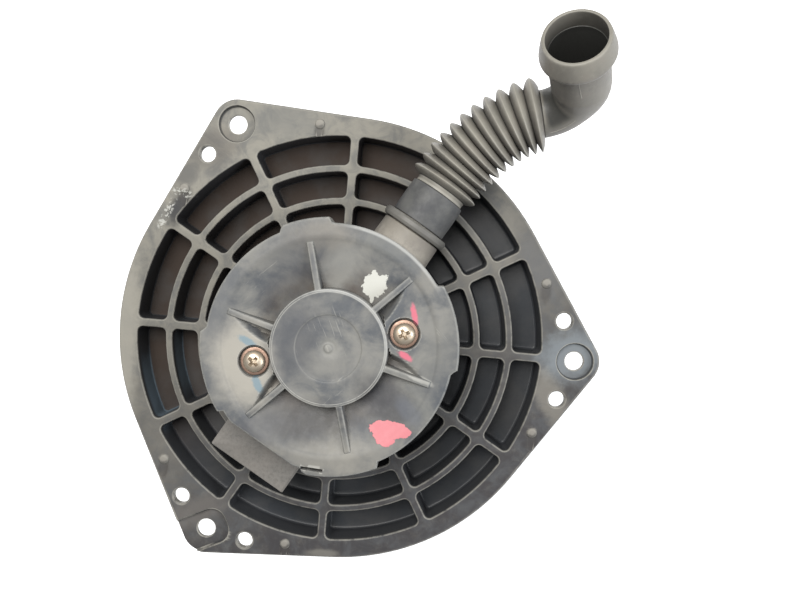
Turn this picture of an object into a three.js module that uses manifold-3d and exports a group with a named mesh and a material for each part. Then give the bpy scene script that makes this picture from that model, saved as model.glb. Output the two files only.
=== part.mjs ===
// Cabin blower motor with its ribbed mounting flange, cooling hose and fan wheel.
// Millimetres, +Z along the motor axis towards the cap. The origin is on the motor axis,
// in the seating plane of the three ears. +X runs through one ear.
import * as THREE from 'three';
import { mergeVertices } from 'three/addons/utils/BufferGeometryUtils.js';
import Module from 'manifold-3d';

const wasm = await Module();
wasm.setup();

// ---------------------------------------------------------------- driving dimensions
const GAP = 0.3; // clearance between pieces that touch on the real object
const ROUND = 32; // sides of an ordinary round

const flange = {
  top: 4, plate: 3.4, dishFloor: -8, dishUnder: -10.5, rim: 86.2, dishWall: 80.9,
  earAt: 92, earTip: 9.6, earHole: 3.6, sideHole: 3.1, sideHoleAt: 87.8, sideHoleTurn: 10,
  recess: 7, recessDeep: 2, recessShift: 1.8, pad: 7.2,
  ribs: 12, rib: 3.3, ringRib: 2.7, rings: [53.75, 66.3], pocketIn: 43.4, pocketOut: 78.7,
  well: 39.3, wellWall: 41.5, wellTop: 31.2, wellFloor: 35.2,
};
const ears = [0, 120, 240];

const cap = {
  top: 34, skirt: 24, rim: 44, lobe: 46, inside: 41.9, boss: 20.8, bossTop: 35.5, valley: 29.2,
  shoulder: 38, thick: 2.4, gusset: 2.6, gussetEnd: 38.5,
};
const lobeSpans = [[93, 117.5], [-6.7, 35], [261, 298], [176, 216]];
const gussetTurns = [45, 105, 165, 225, 285, 345];

const screw = { at: 27, turn: 15.5, shank: 2.5, head: 4.1, headTop: 34.9, headFoot: 32.6, end: 16.5 };
const washer = { out: 5.1, foot: 31.3, top: 32.3 };
const isolatorOut = 6;
const isolatorTop = 27.9;
const capSeat = { top: 33.4, floor: 31, bore: 5.6, hole: 3, nearHalf: 14, farHalf: 28 };
const capSlot = { turn: 266.8, half: 4, from: 43, to: 44.2 };

const motor = {
  yoke: 34, yokeIn: 32, yokeTop: 20, yokeFloor: -56, nose: 10.5, noseEnd: -62,
  bracketFoot: 20.3, bracketTop: 22.1, shaft: 4, shaftTop: 30.8, shaftEnd: -81,
  magnetIn: 28.4, magnetOut: 31.6, magnetFoot: -44, magnetTop: 4, magnetHalf: 58,
  core: 27.6, coreFoot: -38, coreTop: 0, slots: 12, windOut: 25.5, windIn: 8,
  commutator: 11, commFoot: 8.3, commTop: 18.3, cardIn: 12.5, cardFoot: 8.3, cardTop: 10.3,
};
const bearing = { out: 7.8, seat: 8.1, cup: 14, sheet: 1.2, top: 29, shell: 9.6, shellTop: 30.4, lip: 6 };
const clip = { in: 30.8, out: 31.6, half: 27, foot: -40, top: 0 };
const thrust = { out: 7, thick: 1, frontFoot: -51.6 };
const brush = { turn: 105.5, wide: 6.2, tall: 5.2, from: 11.4, to: 19.5, holderEnd: 27.5, wall: 0.9, z: 14.6 };

const fan = {
  out: 75, bladeIn: 60, top: -14, end: -84, blades: 36, blade: 1.3, hub: 12, hubEnd: -76, hubTop: -64.3,
  ringIn: 71, ringOut: 76, ringTop: -80.5, bladeSweep: 9,
};
const fanFixing = { stud: 3, shoulder: -76.1, insertOut: 8, washerOut: 7, washerFoot: -77.4, washerTop: -76.4,
  nut: 5.8, nutFoot: -81.4, nutTop: -77.7 };

const gasket = { out: 84.2, foot: -3 };
const spout = { turn: 60, z: 18.5, base: 11.6, bore: 8.2, pipe: 9.6, baseEnd: 50.5, end: 62 };
const sealRing = { from: 50.8, to: 53.9, out: 12.9, hole: 9.9 };
const cuff = { from: 54.2, to: 67, out: 10.6, hole: 9.9 };
const bellows = { from: 67.3, bendFrom: 71, firstRoot: 2, folds: 11, peak: 13.2, root: 9.6, bore: 8.3,
  length: 43, bend: 31.5, curl: 15, rise: 7.5, swell: 2.23 };
const elbow = { leg: 14.65, riser: 36.8, turnRadius: 13.6, mouth: [-0.273, 0.394, 0.878], legTube: 8.4,
  legBore: 6.8, tube: 10.25, bore: 8.4, collar: 12.6, rim: 11.1, mouthBore: 9.75, mouthDeep: 6.5 };
const plug = { turn: 240, half: 16.25, inner: 38.8, outer: 57.5, foot: 6, top: 18, wall: 1.6, blade: 8 };

// ---------------------------------------------------------------- general helpers
const rad = (deg) => THREE.MathUtils.degToRad(deg);
const polar = (r, deg, z = 0) => new THREE.Vector3(r * Math.cos(rad(deg)), r * Math.sin(rad(deg)), z);
const flat = (r, deg) => new THREE.Vector2(r * Math.cos(rad(deg)), r * Math.sin(rad(deg)));

// Points of an arc about a centre, both ends included.
function arc(centre, r, from, to, steps) {
  const points = [];
  for (let i = 0; i <= steps; i += 1) {
    const at = flat(r, from + ((to - from) * i) / steps);
    points.push(new THREE.Vector2(centre.x + at.x, centre.y + at.y));
  }
  return points;
}

// A geometry as one closed manifold solid whose faces point out.
function solid(geometry) {
  const bare = geometry.index ? geometry.toNonIndexed() : geometry.clone();
  bare.deleteAttribute('normal');
  bare.deleteAttribute('uv');
  const merged = mergeVertices(bare, 1e-4);
  const place = merged.getAttribute('position');
  const index = merged.getIndex().array;
  const corners = [];
  let volume = 0;
  const p = [new THREE.Vector3(), new THREE.Vector3(), new THREE.Vector3()];
  for (let i = 0; i < index.length; i += 3) {
    const [a, b, c] = [index[i], index[i + 1], index[i + 2]];
    if (a !== b && b !== c && c !== a) {
      corners.push(a, b, c);
      p.forEach((v, k) => v.fromBufferAttribute(place, index[i + k]));
      volume += p[0].dot(p[1].clone().cross(p[2]));
    }
  }
  if (volume < 0) corners.reverse();
  const mesh = new wasm.Mesh({
    numProp: 3,
    vertProperties: new Float32Array(place.array),
    triVerts: new Uint32Array(corners),
  });
  return new wasm.Manifold(mesh);
}

function geometryOf(body) {
  const mesh = body.getMesh();
  const geometry = new THREE.BufferGeometry();
  geometry.setAttribute('position', new THREE.BufferAttribute(new Float32Array(mesh.vertProperties), 3));
  geometry.setIndex(new THREE.BufferAttribute(new Uint32Array(mesh.triVerts), 1));
  geometry.computeVertexNormals();
  return geometry;
}

const join = (...bodies) => bodies.reduce((whole, next) => whole.add(next));
const cut = (whole, ...tools) => tools.reduce((left, tool) => left.subtract(tool), whole);

// A closed outline of [radius, height] pairs turned about Z.
function turned(profile, sides = ROUND) {
  const points = profile.map(([r, z]) => new THREE.Vector2(r, z));
  if (profile[0][0] > 0) points.push(points[0].clone());
  const geometry = new THREE.LatheGeometry(points, sides);
  geometry.rotateX(Math.PI / 2);
  return geometry;
}
const ring = (rIn, rOut, z0, z1, sides = ROUND) => solid(
  turned([[rIn, z0], [rOut, z0], [rOut, z1], [rIn, z1]], sides),
);

function placed(body, at) {
  return body.translate([at.x, at.y, at.z]);
}

// An outline in plan pulled up from z0 to z1.
function prism(outline, z0, z1) {
  const geometry = new THREE.ExtrudeGeometry(new THREE.Shape(outline), {
    depth: z1 - z0, bevelEnabled: false, steps: 1,
  });
  geometry.translate(0, 0, z0);
  return solid(geometry);
}

// A box that lies along a radius: r0..r1 outwards, half its width to each side, z0..z1 up.
function radialBox(deg, r0, r1, half, z0, z1, offset = 0) {
  const geometry = new THREE.BoxGeometry(r1 - r0, half * 2, z1 - z0);
  geometry.translate((r0 + r1) / 2, offset, (z0 + z1) / 2);
  geometry.rotateZ(rad(deg));
  return solid(geometry);
}

// A ring sector between two radii.
function sector(rIn, rOut, from, to, z0, z1, steps) {
  const outline = [...arc(new THREE.Vector2(), rOut, from, to, steps),
    ...arc(new THREE.Vector2(), rIn, to, from, steps)];
  return prism(outline, z0, z1);
}

// A round bar or ring that lies along a radius at height z.
function radialTurn(profile, deg, z, sides = 24) {
  const geometry = turned(profile, sides);
  geometry.rotateY(Math.PI / 2);
  geometry.rotateZ(rad(deg));
  geometry.translate(0, 0, z);
  return solid(geometry);
}

// A turned profile whose height becomes distance along a route.
function bent(profile, sides, frameAt) {
  const geometry = turned(profile, sides);
  const place = geometry.getAttribute('position');
  for (let i = 0; i < place.count; i += 1) {
    const frame = frameAt(place.getZ(i));
    const at = frame.at.clone()
      .addScaledVector(frame.side, place.getX(i))
      .addScaledVector(frame.up, place.getY(i));
    place.setXYZ(i, at.x, at.y, at.z);
  }
  return solid(geometry);
}

const group = new THREE.Group();
function piece(name, body, color, roughness, metalness) {
  const material = new THREE.MeshStandardMaterial({ color, roughness, metalness });
  const mesh = new THREE.Mesh(geometryOf(body), material);
  mesh.name = name;
  group.add(mesh);
}
const look = {
  plastic: [0x5c5e60, 0.6, 0], cap: [0x6a6b6c, 0.6, 0], rubber: [0x77776f, 0.75, 0],
  cuff: [0x6f7078, 0.45, 0], tan: [0x8a8078, 0.6, 0], zinc: [0xc9b98d, 0.35, 1],
  copper: [0xb5673c, 0.35, 1], steel: [0x9a9da0, 0.4, 1], carbon: [0x2b2b2d, 0.7, 0],
  brass: [0xb59a55, 0.35, 1], ferrite: [0x35353a, 0.8, 0], fan: [0x2f3133, 0.55, 0],
  foam: [0x262628, 0.95, 0], card: [0x6b4a2c, 0.6, 0],
};

// ---------------------------------------------------------------- flange
// The straight edges of the outline meet an ear's round this many degrees to each side of it.
const tangent = THREE.MathUtils.radToDeg(Math.acos((flange.rim - flange.earTip) / flange.earAt));

// The outline is the hull of the rim circle and a small circle round each ear.
function flangeOutline() {
  const points = [];
  for (const turn of ears) {
    const ear = flat(flange.earAt, turn);
    points.push(...arc(ear, flange.earTip, turn - tangent, turn + tangent, 8));
    points.push(...arc(new THREE.Vector2(), flange.rim, turn + tangent, turn + 120 - tangent, 10));
  }
  return points;
}

// One pocket between two radial ribs and two ring ribs.
function pocket(turn, rIn, rOut) {
  const edge = (r) => THREE.MathUtils.radToDeg(Math.asin(flange.rib / 2 / r));
  const end = turn + 360 / flange.ribs;
  return [
    ...arc(new THREE.Vector2(), rOut, turn + edge(rOut), end - edge(rOut), 4),
    ...arc(new THREE.Vector2(), rIn, end - edge(rIn), turn + edge(rIn), 3),
  ];
}

// The lower ear's recess runs out through the straight edge beside it.
function openRecess() {
  const f = flange;
  const way = 240 - tangent;
  const back = flat(f.recessShift, way + 180);
  const outward = flat(f.earTip * 2, way);
  const outline = arc(flat(f.earAt, 240).add(back), f.recess, way + 90, way + 270, 10);
  outline.push(outline.at(-1).clone().add(outward), outline[0].clone().add(outward));
  return prism(outline, f.top - f.recessDeep, f.top + 1);
}

function mountingFlange() {
  const f = flange;
  let body = prism(flangeOutline(), f.top - f.plate, f.top);
  body = join(body, ring(f.wellFloor, f.dishWall, f.dishUnder, f.top - 0.5, 60));
  body = join(body, ring(f.well, f.wellWall, f.dishUnder + 1, f.wellTop, 36));
  for (const turn of ears) {
    body = join(body, placed(ring(0, f.pad, 0, f.top - 1, 16), polar(f.earAt, turn)));
  }
  const base = radialTurn(
    [[0, f.well + 1], [spout.base, f.well + 1], [spout.base, spout.baseEnd], [spout.pipe, spout.baseEnd],
      [spout.pipe, spout.end], [0, spout.end]],
    spout.turn, spout.z,
  );
  body = join(body, base);
  body = cut(body, ring(0, f.well, f.dishFloor, f.wellTop + 1, 36));
  body = cut(body, ring(0, f.wellFloor, f.dishUnder - 1, f.dishFloor + 1, 36));
  const radii = [f.pocketIn, ...f.rings, f.pocketOut];
  for (let band = 0; band < radii.length - 1; band += 1) {
    const rIn = radii[band] + (band > 0 ? f.ringRib / 2 : 0);
    const rOut = radii[band + 1] - (band < radii.length - 2 ? f.ringRib / 2 : 0);
    for (let i = 0; i < f.ribs; i += 1) {
      body = cut(body, prism(pocket((i * 360) / f.ribs, rIn, rOut), f.dishFloor, f.top + 1));
    }
  }
  const holes = [];
  for (const turn of ears) {
    holes.push([f.earAt, turn, f.earHole], [f.sideHoleAt, turn + f.sideHoleTurn, f.sideHole]);
    if (turn !== 120) holes.push([f.sideHoleAt, turn - f.sideHoleTurn, f.sideHole]);
  }
  for (const [r, turn, hole] of holes) {
    body = cut(body, placed(ring(0, hole, f.dishUnder, f.top + 1, 16), polar(r, turn)));
  }
  for (const turn of [0, 120]) {
    const sink = ring(0, f.recess, f.top - f.recessDeep, f.top + 1, 20);
    body = cut(body, placed(sink, polar(f.earAt, turn)));
  }
  body = cut(body, openRecess());
  const bore = radialTurn([[0, 30], [spout.bore, 30], [spout.bore, 70], [0, 70]], spout.turn, spout.z);
  const window = radialBox(
    plug.turn, plug.inner - 3, 46, plug.half + GAP, plug.foot - GAP, plug.top + GAP,
  );
  return cut(body, bore, window);
}

// ---------------------------------------------------------------- cap
function motorCap() {
  const c = cap;
  let body = solid(turned([
    [0, c.bossTop], [c.boss, c.bossTop], [c.boss + 0.5, c.valley], [c.shoulder, c.top - 0.6],
    [c.rim - 1, c.top], [c.rim, c.top - 0.8], [c.rim, c.skirt], [c.inside, c.skirt],
    [c.inside, c.top - c.thick], [c.shoulder - 1, c.top - c.thick - 0.4],
    [c.boss + 1, c.valley - c.thick], [c.boss - 2.4, c.valley - c.thick], [c.boss - 2.8, c.bossTop - c.thick],
    [0, c.bossTop - c.thick],
  ], 36));
  for (const [from, to] of lobeSpans) {
    body = join(body, sector(c.rim - 1.5, c.lobe, from, to, c.skirt, c.top, 3));
  }
  for (const turn of gussetTurns) {
    const side = new THREE.Shape([
      new THREE.Vector2(c.boss - 1, c.bossTop - 0.4), new THREE.Vector2(c.boss - 1, c.valley - 1),
      new THREE.Vector2(c.gussetEnd, c.top - 2.2), new THREE.Vector2(c.gussetEnd, c.top - 0.1),
    ]);
    const web = new THREE.ExtrudeGeometry(side, { depth: c.gusset, bevelEnabled: false });
    web.translate(0, 0, -c.gusset / 2);
    web.rotateX(Math.PI / 2);
    web.rotateZ(rad(turn));
    body = join(body, solid(web));
  }
  for (const turn of [screw.turn, screw.turn + 180]) {
    const outline = [flat(c.boss - 1, turn - capSeat.nearHalf),
      ...arc(new THREE.Vector2(), c.shoulder + 1, turn - capSeat.farHalf, turn + capSeat.farHalf, 4),
      flat(c.boss - 1, turn + capSeat.nearHalf)];
    body = join(body, prism(outline, c.valley - 0.7, capSeat.top));
    const at = polar(screw.at, turn);
    const tools = [[capSeat.bore, capSeat.floor, 40], [capSeat.hole, 20, 40],
      [isolatorOut + GAP, 20, isolatorTop + GAP]];
    for (const [r, z0, z1] of tools) body = cut(body, placed(ring(0, r, z0, z1, 16), at));
  }
  const spoutRoom = radialTurn(
    [[0, 40], [spout.base + 0.6, 40], [spout.base + 0.6, 60], [0, 60]], spout.turn, spout.z,
  );
  const slot = radialBox(capSlot.turn, capSlot.from, capSlot.to, capSlot.half, c.skirt - 1, c.top + 1);
  return cut(body, spoutRoom, slot);
}

// ---------------------------------------------------------------- fasteners on the cap
function capScrew() {
  const s = screw;
  const body = solid(turned([
    [0, s.headTop], [s.head * 0.6, s.headTop - 0.25], [s.head, s.headTop - 1.2], [s.head, s.headFoot],
    [s.shank, s.headFoot], [s.shank, s.end + 0.8], [s.shank - 0.8, s.end], [0, s.end],
  ], 16));
  const slots = [0, 90].map((turn) => radialBox(turn + 45, -1.9, 1.9, 0.5, s.headTop - 1.6, s.headTop + 1));
  return cut(body, ...slots);
}
const capWasher = () => ring(screw.shank + GAP, washer.out, washer.foot, washer.top, 16);
const isolator = () => ring(3.4, isolatorOut, motor.bracketTop + GAP, isolatorTop, 16);

// ---------------------------------------------------------------- motor
const nearShaft = motor.shaft + GAP;

function yoke() {
  const m = motor;
  return solid(turned([
    [5, m.noseEnd], [m.nose, m.noseEnd], [m.nose, m.yokeFloor], [m.yoke - 3, m.yokeFloor],
    [m.yoke, m.yokeFloor + 3], [m.yoke, m.yokeTop], [m.yokeIn, m.yokeTop], [m.yokeIn, m.yokeFloor + 4],
    [m.yokeIn - 2, m.yokeFloor + 2], [8.1, m.yokeFloor + 2], [8.1, m.noseEnd + 1.6], [5, m.noseEnd + 1.6],
  ], 28));
}

function endBracket() {
  const m = motor;
  let body = ring(5, m.yoke - GAP, m.bracketFoot, m.bracketTop, 28);
  const holes = [[screw.at, screw.turn, 2.8], [screw.at, screw.turn + 180, 2.8],
    [29, plug.turn - 12, 2.2], [29, plug.turn + 12, 2.2]];
  for (const [r, turn, hole] of holes) {
    body = cut(body, placed(ring(0, hole, m.bracketFoot - 1, m.bracketTop + 1, 12), polar(r, turn)));
  }
  return body;
}

function armatureCore() {
  const m = motor;
  let body = ring(nearShaft, m.core, m.coreFoot, m.coreTop, 36);
  for (let i = 0; i < m.slots; i += 1) {
    const turn = (i * 360) / m.slots;
    body = cut(
      body,
      radialBox(turn, 15, 24.8, 2.5, m.coreFoot - 1, m.coreTop + 1),
      radialBox(turn, 24, 30, 1.1, m.coreFoot - 1, m.coreTop + 1),
    );
  }
  return body;
}

function armatureWinding() {
  const m = motor;
  let body = solid(turned([
    [m.windIn, m.coreTop + 0.4], [m.windOut, m.coreTop + 0.4], [m.windOut, m.coreTop + 4.5],
    [m.windOut - 3, m.coreTop + 7.2], [m.windIn, m.coreTop + 7.2],
  ], 24));
  body = join(body, solid(turned([
    [m.windIn, m.coreFoot - 0.4], [m.windOut, m.coreFoot - 0.4], [m.windOut, m.coreFoot - 5],
    [m.windOut - 3, m.coreFoot - 8], [m.windIn, m.coreFoot - 8],
  ], 24)));
  for (let i = 0; i < m.slots; i += 1) {
    body = join(body, radialBox((i * 360) / m.slots, 15.4, 24.4, 2.1, m.coreFoot - 1, m.coreTop + 1));
  }
  return body;
}

function commutator() {
  const m = motor;
  let body = ring(nearShaft, m.commutator, m.commFoot, m.commTop, 24);
  for (let i = 0; i < m.slots; i += 1) {
    body = cut(body, radialBox(((i + 0.5) * 360) / m.slots, 9.8, 12, 0.35, m.commFoot + 1.5, m.commTop + 1));
  }
  return body;
}

function brushHolder(turn) {
  const b = brush;
  const shell = radialBox(turn, 13.5, b.holderEnd, b.wide / 2 + GAP + b.wall,
    b.z - b.tall / 2 - GAP - b.wall, b.z + b.tall / 2 + GAP + b.wall);
  return cut(shell, radialBox(turn, 12, b.holderEnd - b.wall, b.wide / 2 + GAP,
    b.z - b.tall / 2 - GAP, b.z + b.tall / 2 + GAP));
}

// A wire coil that lies along a radius between two radii.
function brushSpring(turn) {
  const coils = 3;
  const perCoil = 7;
  const points = [];
  const [from, to] = [brush.to + 0.7, brush.holderEnd - brush.wall - 0.8];
  for (let i = 0; i <= coils * perCoil; i += 1) {
    const share = i / (coils * perCoil);
    const around = 360 * coils * share;
    points.push(new THREE.Vector3(from + (to - from) * share, 1.9 * Math.cos(rad(around)),
      brush.z + 1.9 * Math.sin(rad(around))));
  }
  const wire = new THREE.ExtrudeGeometry(new THREE.Shape(arc(new THREE.Vector2(), 0.35, 0, 270, 3)), {
    steps: coils * perCoil, extrudePath: new THREE.CatmullRomCurve3(points), bevelEnabled: false,
  });
  wire.rotateZ(rad(turn));
  return solid(wire);
}

function lead(turn) {
  const points = [[36, 12], [36, 19], [35.4, 23], [33, 25], [30.4, 24.6], [29, 21.5], [29, 16], [29, 10.8]]
    .map(([r, z]) => polar(r, turn, z));
  const wire = new THREE.ExtrudeGeometry(new THREE.Shape(arc(new THREE.Vector2(), 1.3, 0, 300, 5)), {
    steps: 12, extrudePath: new THREE.CatmullRomCurve3(points), bevelEnabled: false,
  });
  return solid(wire);
}

// ---------------------------------------------------------------- fan wheel
function fanBlade() {
  const f = fan;
  const half = f.blade / 2;
  const rows = [0, 0.5, 1].map((share) => {
    const r = f.bladeIn - 0.8 + (f.out - f.bladeIn) * share;
    return [r, f.bladeSweep * share * share];
  });
  const outer = rows.map(([r, turn]) => flat(r, turn + THREE.MathUtils.radToDeg(half / r)));
  const inner = rows.map(([r, turn]) => flat(r, turn - THREE.MathUtils.radToDeg(half / r)));
  return [...inner, ...outer.reverse()];
}

function fanWheel() {
  const f = fan;
  const dome = [
    [f.out, f.top], [60, f.top], [54, f.top - 4], [46.5, f.top - 22], [39.6, f.top - 44],
    [31, f.top - 49.4], [f.hub, f.hubTop + 0.7], [8.3, f.hubTop + 0.7], [8.3, f.hubEnd], [f.hub, f.hubEnd],
    [f.hub + 0.4, f.hubTop - 1.6], [32, f.top - 51.6], [41.4, f.top - 45.6],
    [48.4, f.top - 22.6], [55.6, f.top - 5.2], [60, f.top - 2], [f.out, f.top - 2],
  ];
  let body = solid(turned(dome, 30));
  body = join(body, ring(f.ringIn, f.ringOut, f.end, f.ringTop, 30));
  const outline = fanBlade();
  for (let i = 0; i < f.blades; i += 1) {
    const turn = (i * 360) / f.blades;
    const blade = outline.map((p) => p.clone().rotateAround(new THREE.Vector2(), rad(turn)));
    body = join(body, prism(blade, f.end + 1, f.top - 1));
  }
  return body;
}

// ---------------------------------------------------------------- hose
const alongSpout = polar(1, spout.turn);
const bellowsStart = polar(bellows.bendFrom, spout.turn, spout.z);
const straightNeck = bellows.bendFrom - bellows.from;

// The middle line of the bellows: it turns right, more and more tightly, and lifts towards its end.
function bellowsPoint(s) {
  const t = Math.max(s - straightNeck, 0) / bellows.length;
  if (t === 0) return bellowsStart.clone().addScaledVector(alongSpout, s - straightNeck);
  const at = bellowsStart.clone();
  const steps = 24;
  for (let i = 0; i < steps; i += 1) {
    const part = (t * (i + 0.5)) / steps;
    const heading = spout.turn - bellows.bend * part - bellows.curl * part ** 3;
    at.add(polar((bellows.length * t) / steps, heading));
  }
  at.z = spout.z + bellows.rise * (bellows.swell * t ** 2 + (1 - bellows.swell) * t ** 3);
  return at;
}

function bellowsFrame(s) {
  const end = straightNeck + bellows.length;
  const along = bellowsPoint(Math.min(s + 0.05, end)).sub(bellowsPoint(s - 0.05)).normalize();
  const side = new THREE.Vector3(0, 0, 1).cross(along).normalize();
  return { at: bellowsPoint(s), along, side, up: along.clone().cross(side) };
}

// The elbow: a leg that carries on from the bellows, a quarter turn and the riser to the mouth.
const elbowStart = bellowsPoint(straightNeck + bellows.length);
const legWay = bellowsFrame(straightNeck + bellows.length).along;
const mouthWay = new THREE.Vector3(...elbow.mouth).normalize();
const elbowTurn = legWay.angleTo(mouthWay);
const across = legWay.clone().cross(mouthWay).normalize();
const beforeTurn = elbow.leg - elbow.turnRadius * Math.tan(elbowTurn / 2);
const turnLength = elbow.turnRadius * elbowTurn;
const elbowLength = beforeTurn + turnLength + elbow.riser - elbow.turnRadius * Math.tan(elbowTurn / 2);

function elbowFrame(s) {
  const angle = THREE.MathUtils.clamp((s - beforeTurn) / elbow.turnRadius, 0, elbowTurn);
  const along = legWay.clone().applyAxisAngle(across, angle);
  const inward = across.clone().cross(along);
  let at;
  if (s <= beforeTurn) {
    at = elbowStart.clone().addScaledVector(legWay, s);
  } else {
    const hub = elbowStart.clone().addScaledVector(legWay, beforeTurn)
      .addScaledVector(across.clone().cross(legWay), elbow.turnRadius);
    at = hub.addScaledVector(inward, -elbow.turnRadius);
    at.addScaledVector(along, Math.max(s - beforeTurn - turnLength, 0));
  }
  return { at, side: across, up: inward.negate() };
}

// A stretch of bellows with a whole number of folds, from one root to another.
function foldedTube(first, count) {
  const pitch = (straightNeck + bellows.length - bellows.firstRoot) / bellows.folds;
  const from = bellows.firstRoot + first * pitch;
  const to = from + count * pitch;
  const profile = [];
  const start = first === 0 ? GAP : from + GAP / 2;
  const end = first + count === bellows.folds ? straightNeck + bellows.length - GAP : to - GAP / 2;
  profile.push([bellows.root, start]);
  for (let i = 0; i < count; i += 1) {
    const middle = from + (i + 0.5) * pitch;
    if (i > 0) profile.push([bellows.root, from + i * pitch]);
    profile.push([bellows.peak, middle]);
  }
  profile.push([bellows.root, end]);
  const steps = Math.max(Math.round(count / 2), 1);
  for (let i = 0; i <= steps; i += 1) {
    profile.push([bellows.bore, end + ((start - end) * i) / steps]);
  }
  return bent(profile, 16, bellowsFrame);
}

// The tube is thinner in the leg and widens in the second half of the turn.
function hoseElbow() {
  const end = elbowLength;
  const e = elbow;
  const outside = [[e.legTube, GAP]];
  const inside = [];
  const turnSteps = 4;
  for (let i = 0; i <= turnSteps; i += 1) {
    const wide = Math.max((2 * i) / turnSteps - 1, 0);
    const at = beforeTurn + (turnLength * i) / turnSteps;
    outside.push([e.legTube + (e.tube - e.legTube) * wide, at]);
    inside.unshift([e.legBore + (e.bore - e.legBore) * wide, at]);
  }
  outside.push([e.tube, end - 9.4], [e.collar - 0.2, end - 7.8], [e.collar, end - 6.6], [e.rim, end - 0.4],
    [e.rim - 0.3, end]);
  inside.unshift([e.mouthBore, end], [e.mouthBore, end - e.mouthDeep], [e.bore + 0.9, end - e.mouthDeep - 0.5]);
  inside.push([e.legBore, GAP]);
  return bent([...outside, ...inside], 18, elbowFrame);
}

// ---------------------------------------------------------------- connector
function connectorHousing() {
  const p = plug;
  const shell = radialBox(p.turn, p.inner, p.outer, p.half, p.foot, p.top);
  const socket = radialBox(p.turn, 45.5, p.outer + 1, p.half - p.wall, p.foot + p.wall, p.top - p.wall);
  const tails = [-p.blade, p.blade].map((offset) => radialBox(
    p.turn, p.inner - 1, 46, 0.75, 8.5, 15.5, offset,
  ));
  return cut(shell, socket, ...tails);
}
const terminal = (offset) => radialBox(plug.turn, 37.6, 54, 0.4, 8.85, 15.15, offset);

// ---------------------------------------------------------------- the assembly
piece('mounting_flange', mountingFlange(), ...look.plastic);
const gasketTop = flange.top - flange.plate - GAP;
piece('flange_gasket', ring(flange.dishWall + GAP, gasket.out, gasket.foot, gasketTop, 36),
  ...look.foam);
piece('motor_cap', motorCap(), ...look.cap);

for (const [side, turn] of [['right', screw.turn], ['left', screw.turn + 180]]) {
  const at = polar(screw.at, turn);
  piece(`cap_screw_${side}`, placed(capScrew(), at), ...look.zinc);
  piece(`cap_washer_${side}`, placed(capWasher(), at), ...look.copper);
  piece(`isolator_${side}`, placed(isolator(), at), ...look.rubber);
}

piece('motor_yoke', yoke(), ...look.steel);
piece('end_bracket', endBracket(), ...look.steel);
piece('brush_card', ring(motor.cardIn, motor.yokeIn - 0.4, motor.cardFoot, motor.cardTop, 32), ...look.card);
for (const [side, turn] of [['right', screw.turn], ['left', screw.turn + 180]]) {
  piece(`magnet_${side}`, sector(motor.magnetIn, motor.magnetOut, turn - motor.magnetHalf,
    turn + motor.magnetHalf, motor.magnetFoot, motor.magnetTop, 10), ...look.ferrite);
}
for (const [side, turn] of [['upper', brush.turn], ['lower', brush.turn + 180]]) {
  piece(`magnet_clip_${side}`, sector(clip.in, clip.out, turn - clip.half, turn + clip.half,
    clip.foot, clip.top, 6), ...look.steel);
  piece(`brush_holder_${side}`, brushHolder(turn), ...look.brass);
  piece(`brush_${side}`, radialBox(turn, brush.from, brush.to, brush.wide / 2,
    brush.z - brush.tall / 2, brush.z + brush.tall / 2), ...look.carbon);
  piece(`brush_spring_${side}`, brushSpring(turn), ...look.steel);
}
const cupFoot = motor.bracketTop + GAP;
piece('rear_bearing', ring(nearShaft, bearing.out, cupFoot, bearing.top, 16), ...look.brass);
piece('rear_bearing_retainer', solid(turned([
  [bearing.seat, cupFoot], [bearing.cup, cupFoot], [bearing.cup, cupFoot + bearing.sheet],
  [bearing.shell, cupFoot + bearing.sheet], [bearing.shell, bearing.shellTop], [bearing.lip, bearing.shellTop],
  [bearing.lip, bearing.top + GAP], [bearing.seat, bearing.top + GAP],
], 16)), ...look.steel);
piece('front_bearing', ring(nearShaft, bearing.out, motor.noseEnd + 1.9, motor.yokeFloor + 2, 16),
  ...look.brass);
piece('front_bearing_retainer', ring(bearing.lip + 0.5, bearing.cup, motor.yokeFloor + 2.3,
  motor.yokeFloor + 3.3, 16), ...look.steel);

piece('shaft', solid(turned([
  [0, motor.shaftTop], [motor.shaft - 0.6, motor.shaftTop], [motor.shaft, motor.shaftTop - 0.6],
  [motor.shaft, fanFixing.shoulder], [fanFixing.stud, fanFixing.shoulder],
  [fanFixing.stud, motor.shaftEnd + 0.5], [fanFixing.stud - 0.5, motor.shaftEnd], [0, motor.shaftEnd],
], 16)), ...look.steel);
piece('armature_core', armatureCore(), ...look.steel);
piece('armature_winding', armatureWinding(), ...look.copper);
piece('commutator', commutator(), ...look.copper);
for (const [end, foot] of [['rear', motor.commTop + GAP], ['front', thrust.frontFoot]]) {
  piece(`${end}_thrust_washer`, ring(nearShaft, thrust.out, foot, foot + thrust.thick, 16), ...look.card);
}
piece('fan_wheel', fanWheel(), ...look.fan);
const studRoom = fanFixing.stud + GAP;
piece('fan_hub_insert', ring(nearShaft, fanFixing.insertOut, fan.hubEnd + GAP, fan.hubTop, 16), ...look.brass);
piece('fan_washer', ring(studRoom, fanFixing.washerOut, fanFixing.washerFoot, fanFixing.washerTop, 16),
  ...look.zinc);
piece('fan_nut', cut(ring(0, fanFixing.nut, fanFixing.nutFoot, fanFixing.nutTop, 6),
  ring(0, studRoom, fan.end, fan.hubEnd, 16)), ...look.zinc);

piece('connector_housing', connectorHousing(), ...look.tan);
for (const [side, offset, turn] of [['a', -plug.blade, plug.turn - 12], ['b', plug.blade, plug.turn + 12]]) {
  piece(`terminal_${side}`, terminal(offset), ...look.brass);
  piece(`lead_${side}`, lead(turn), ...look.carbon);
}

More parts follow.
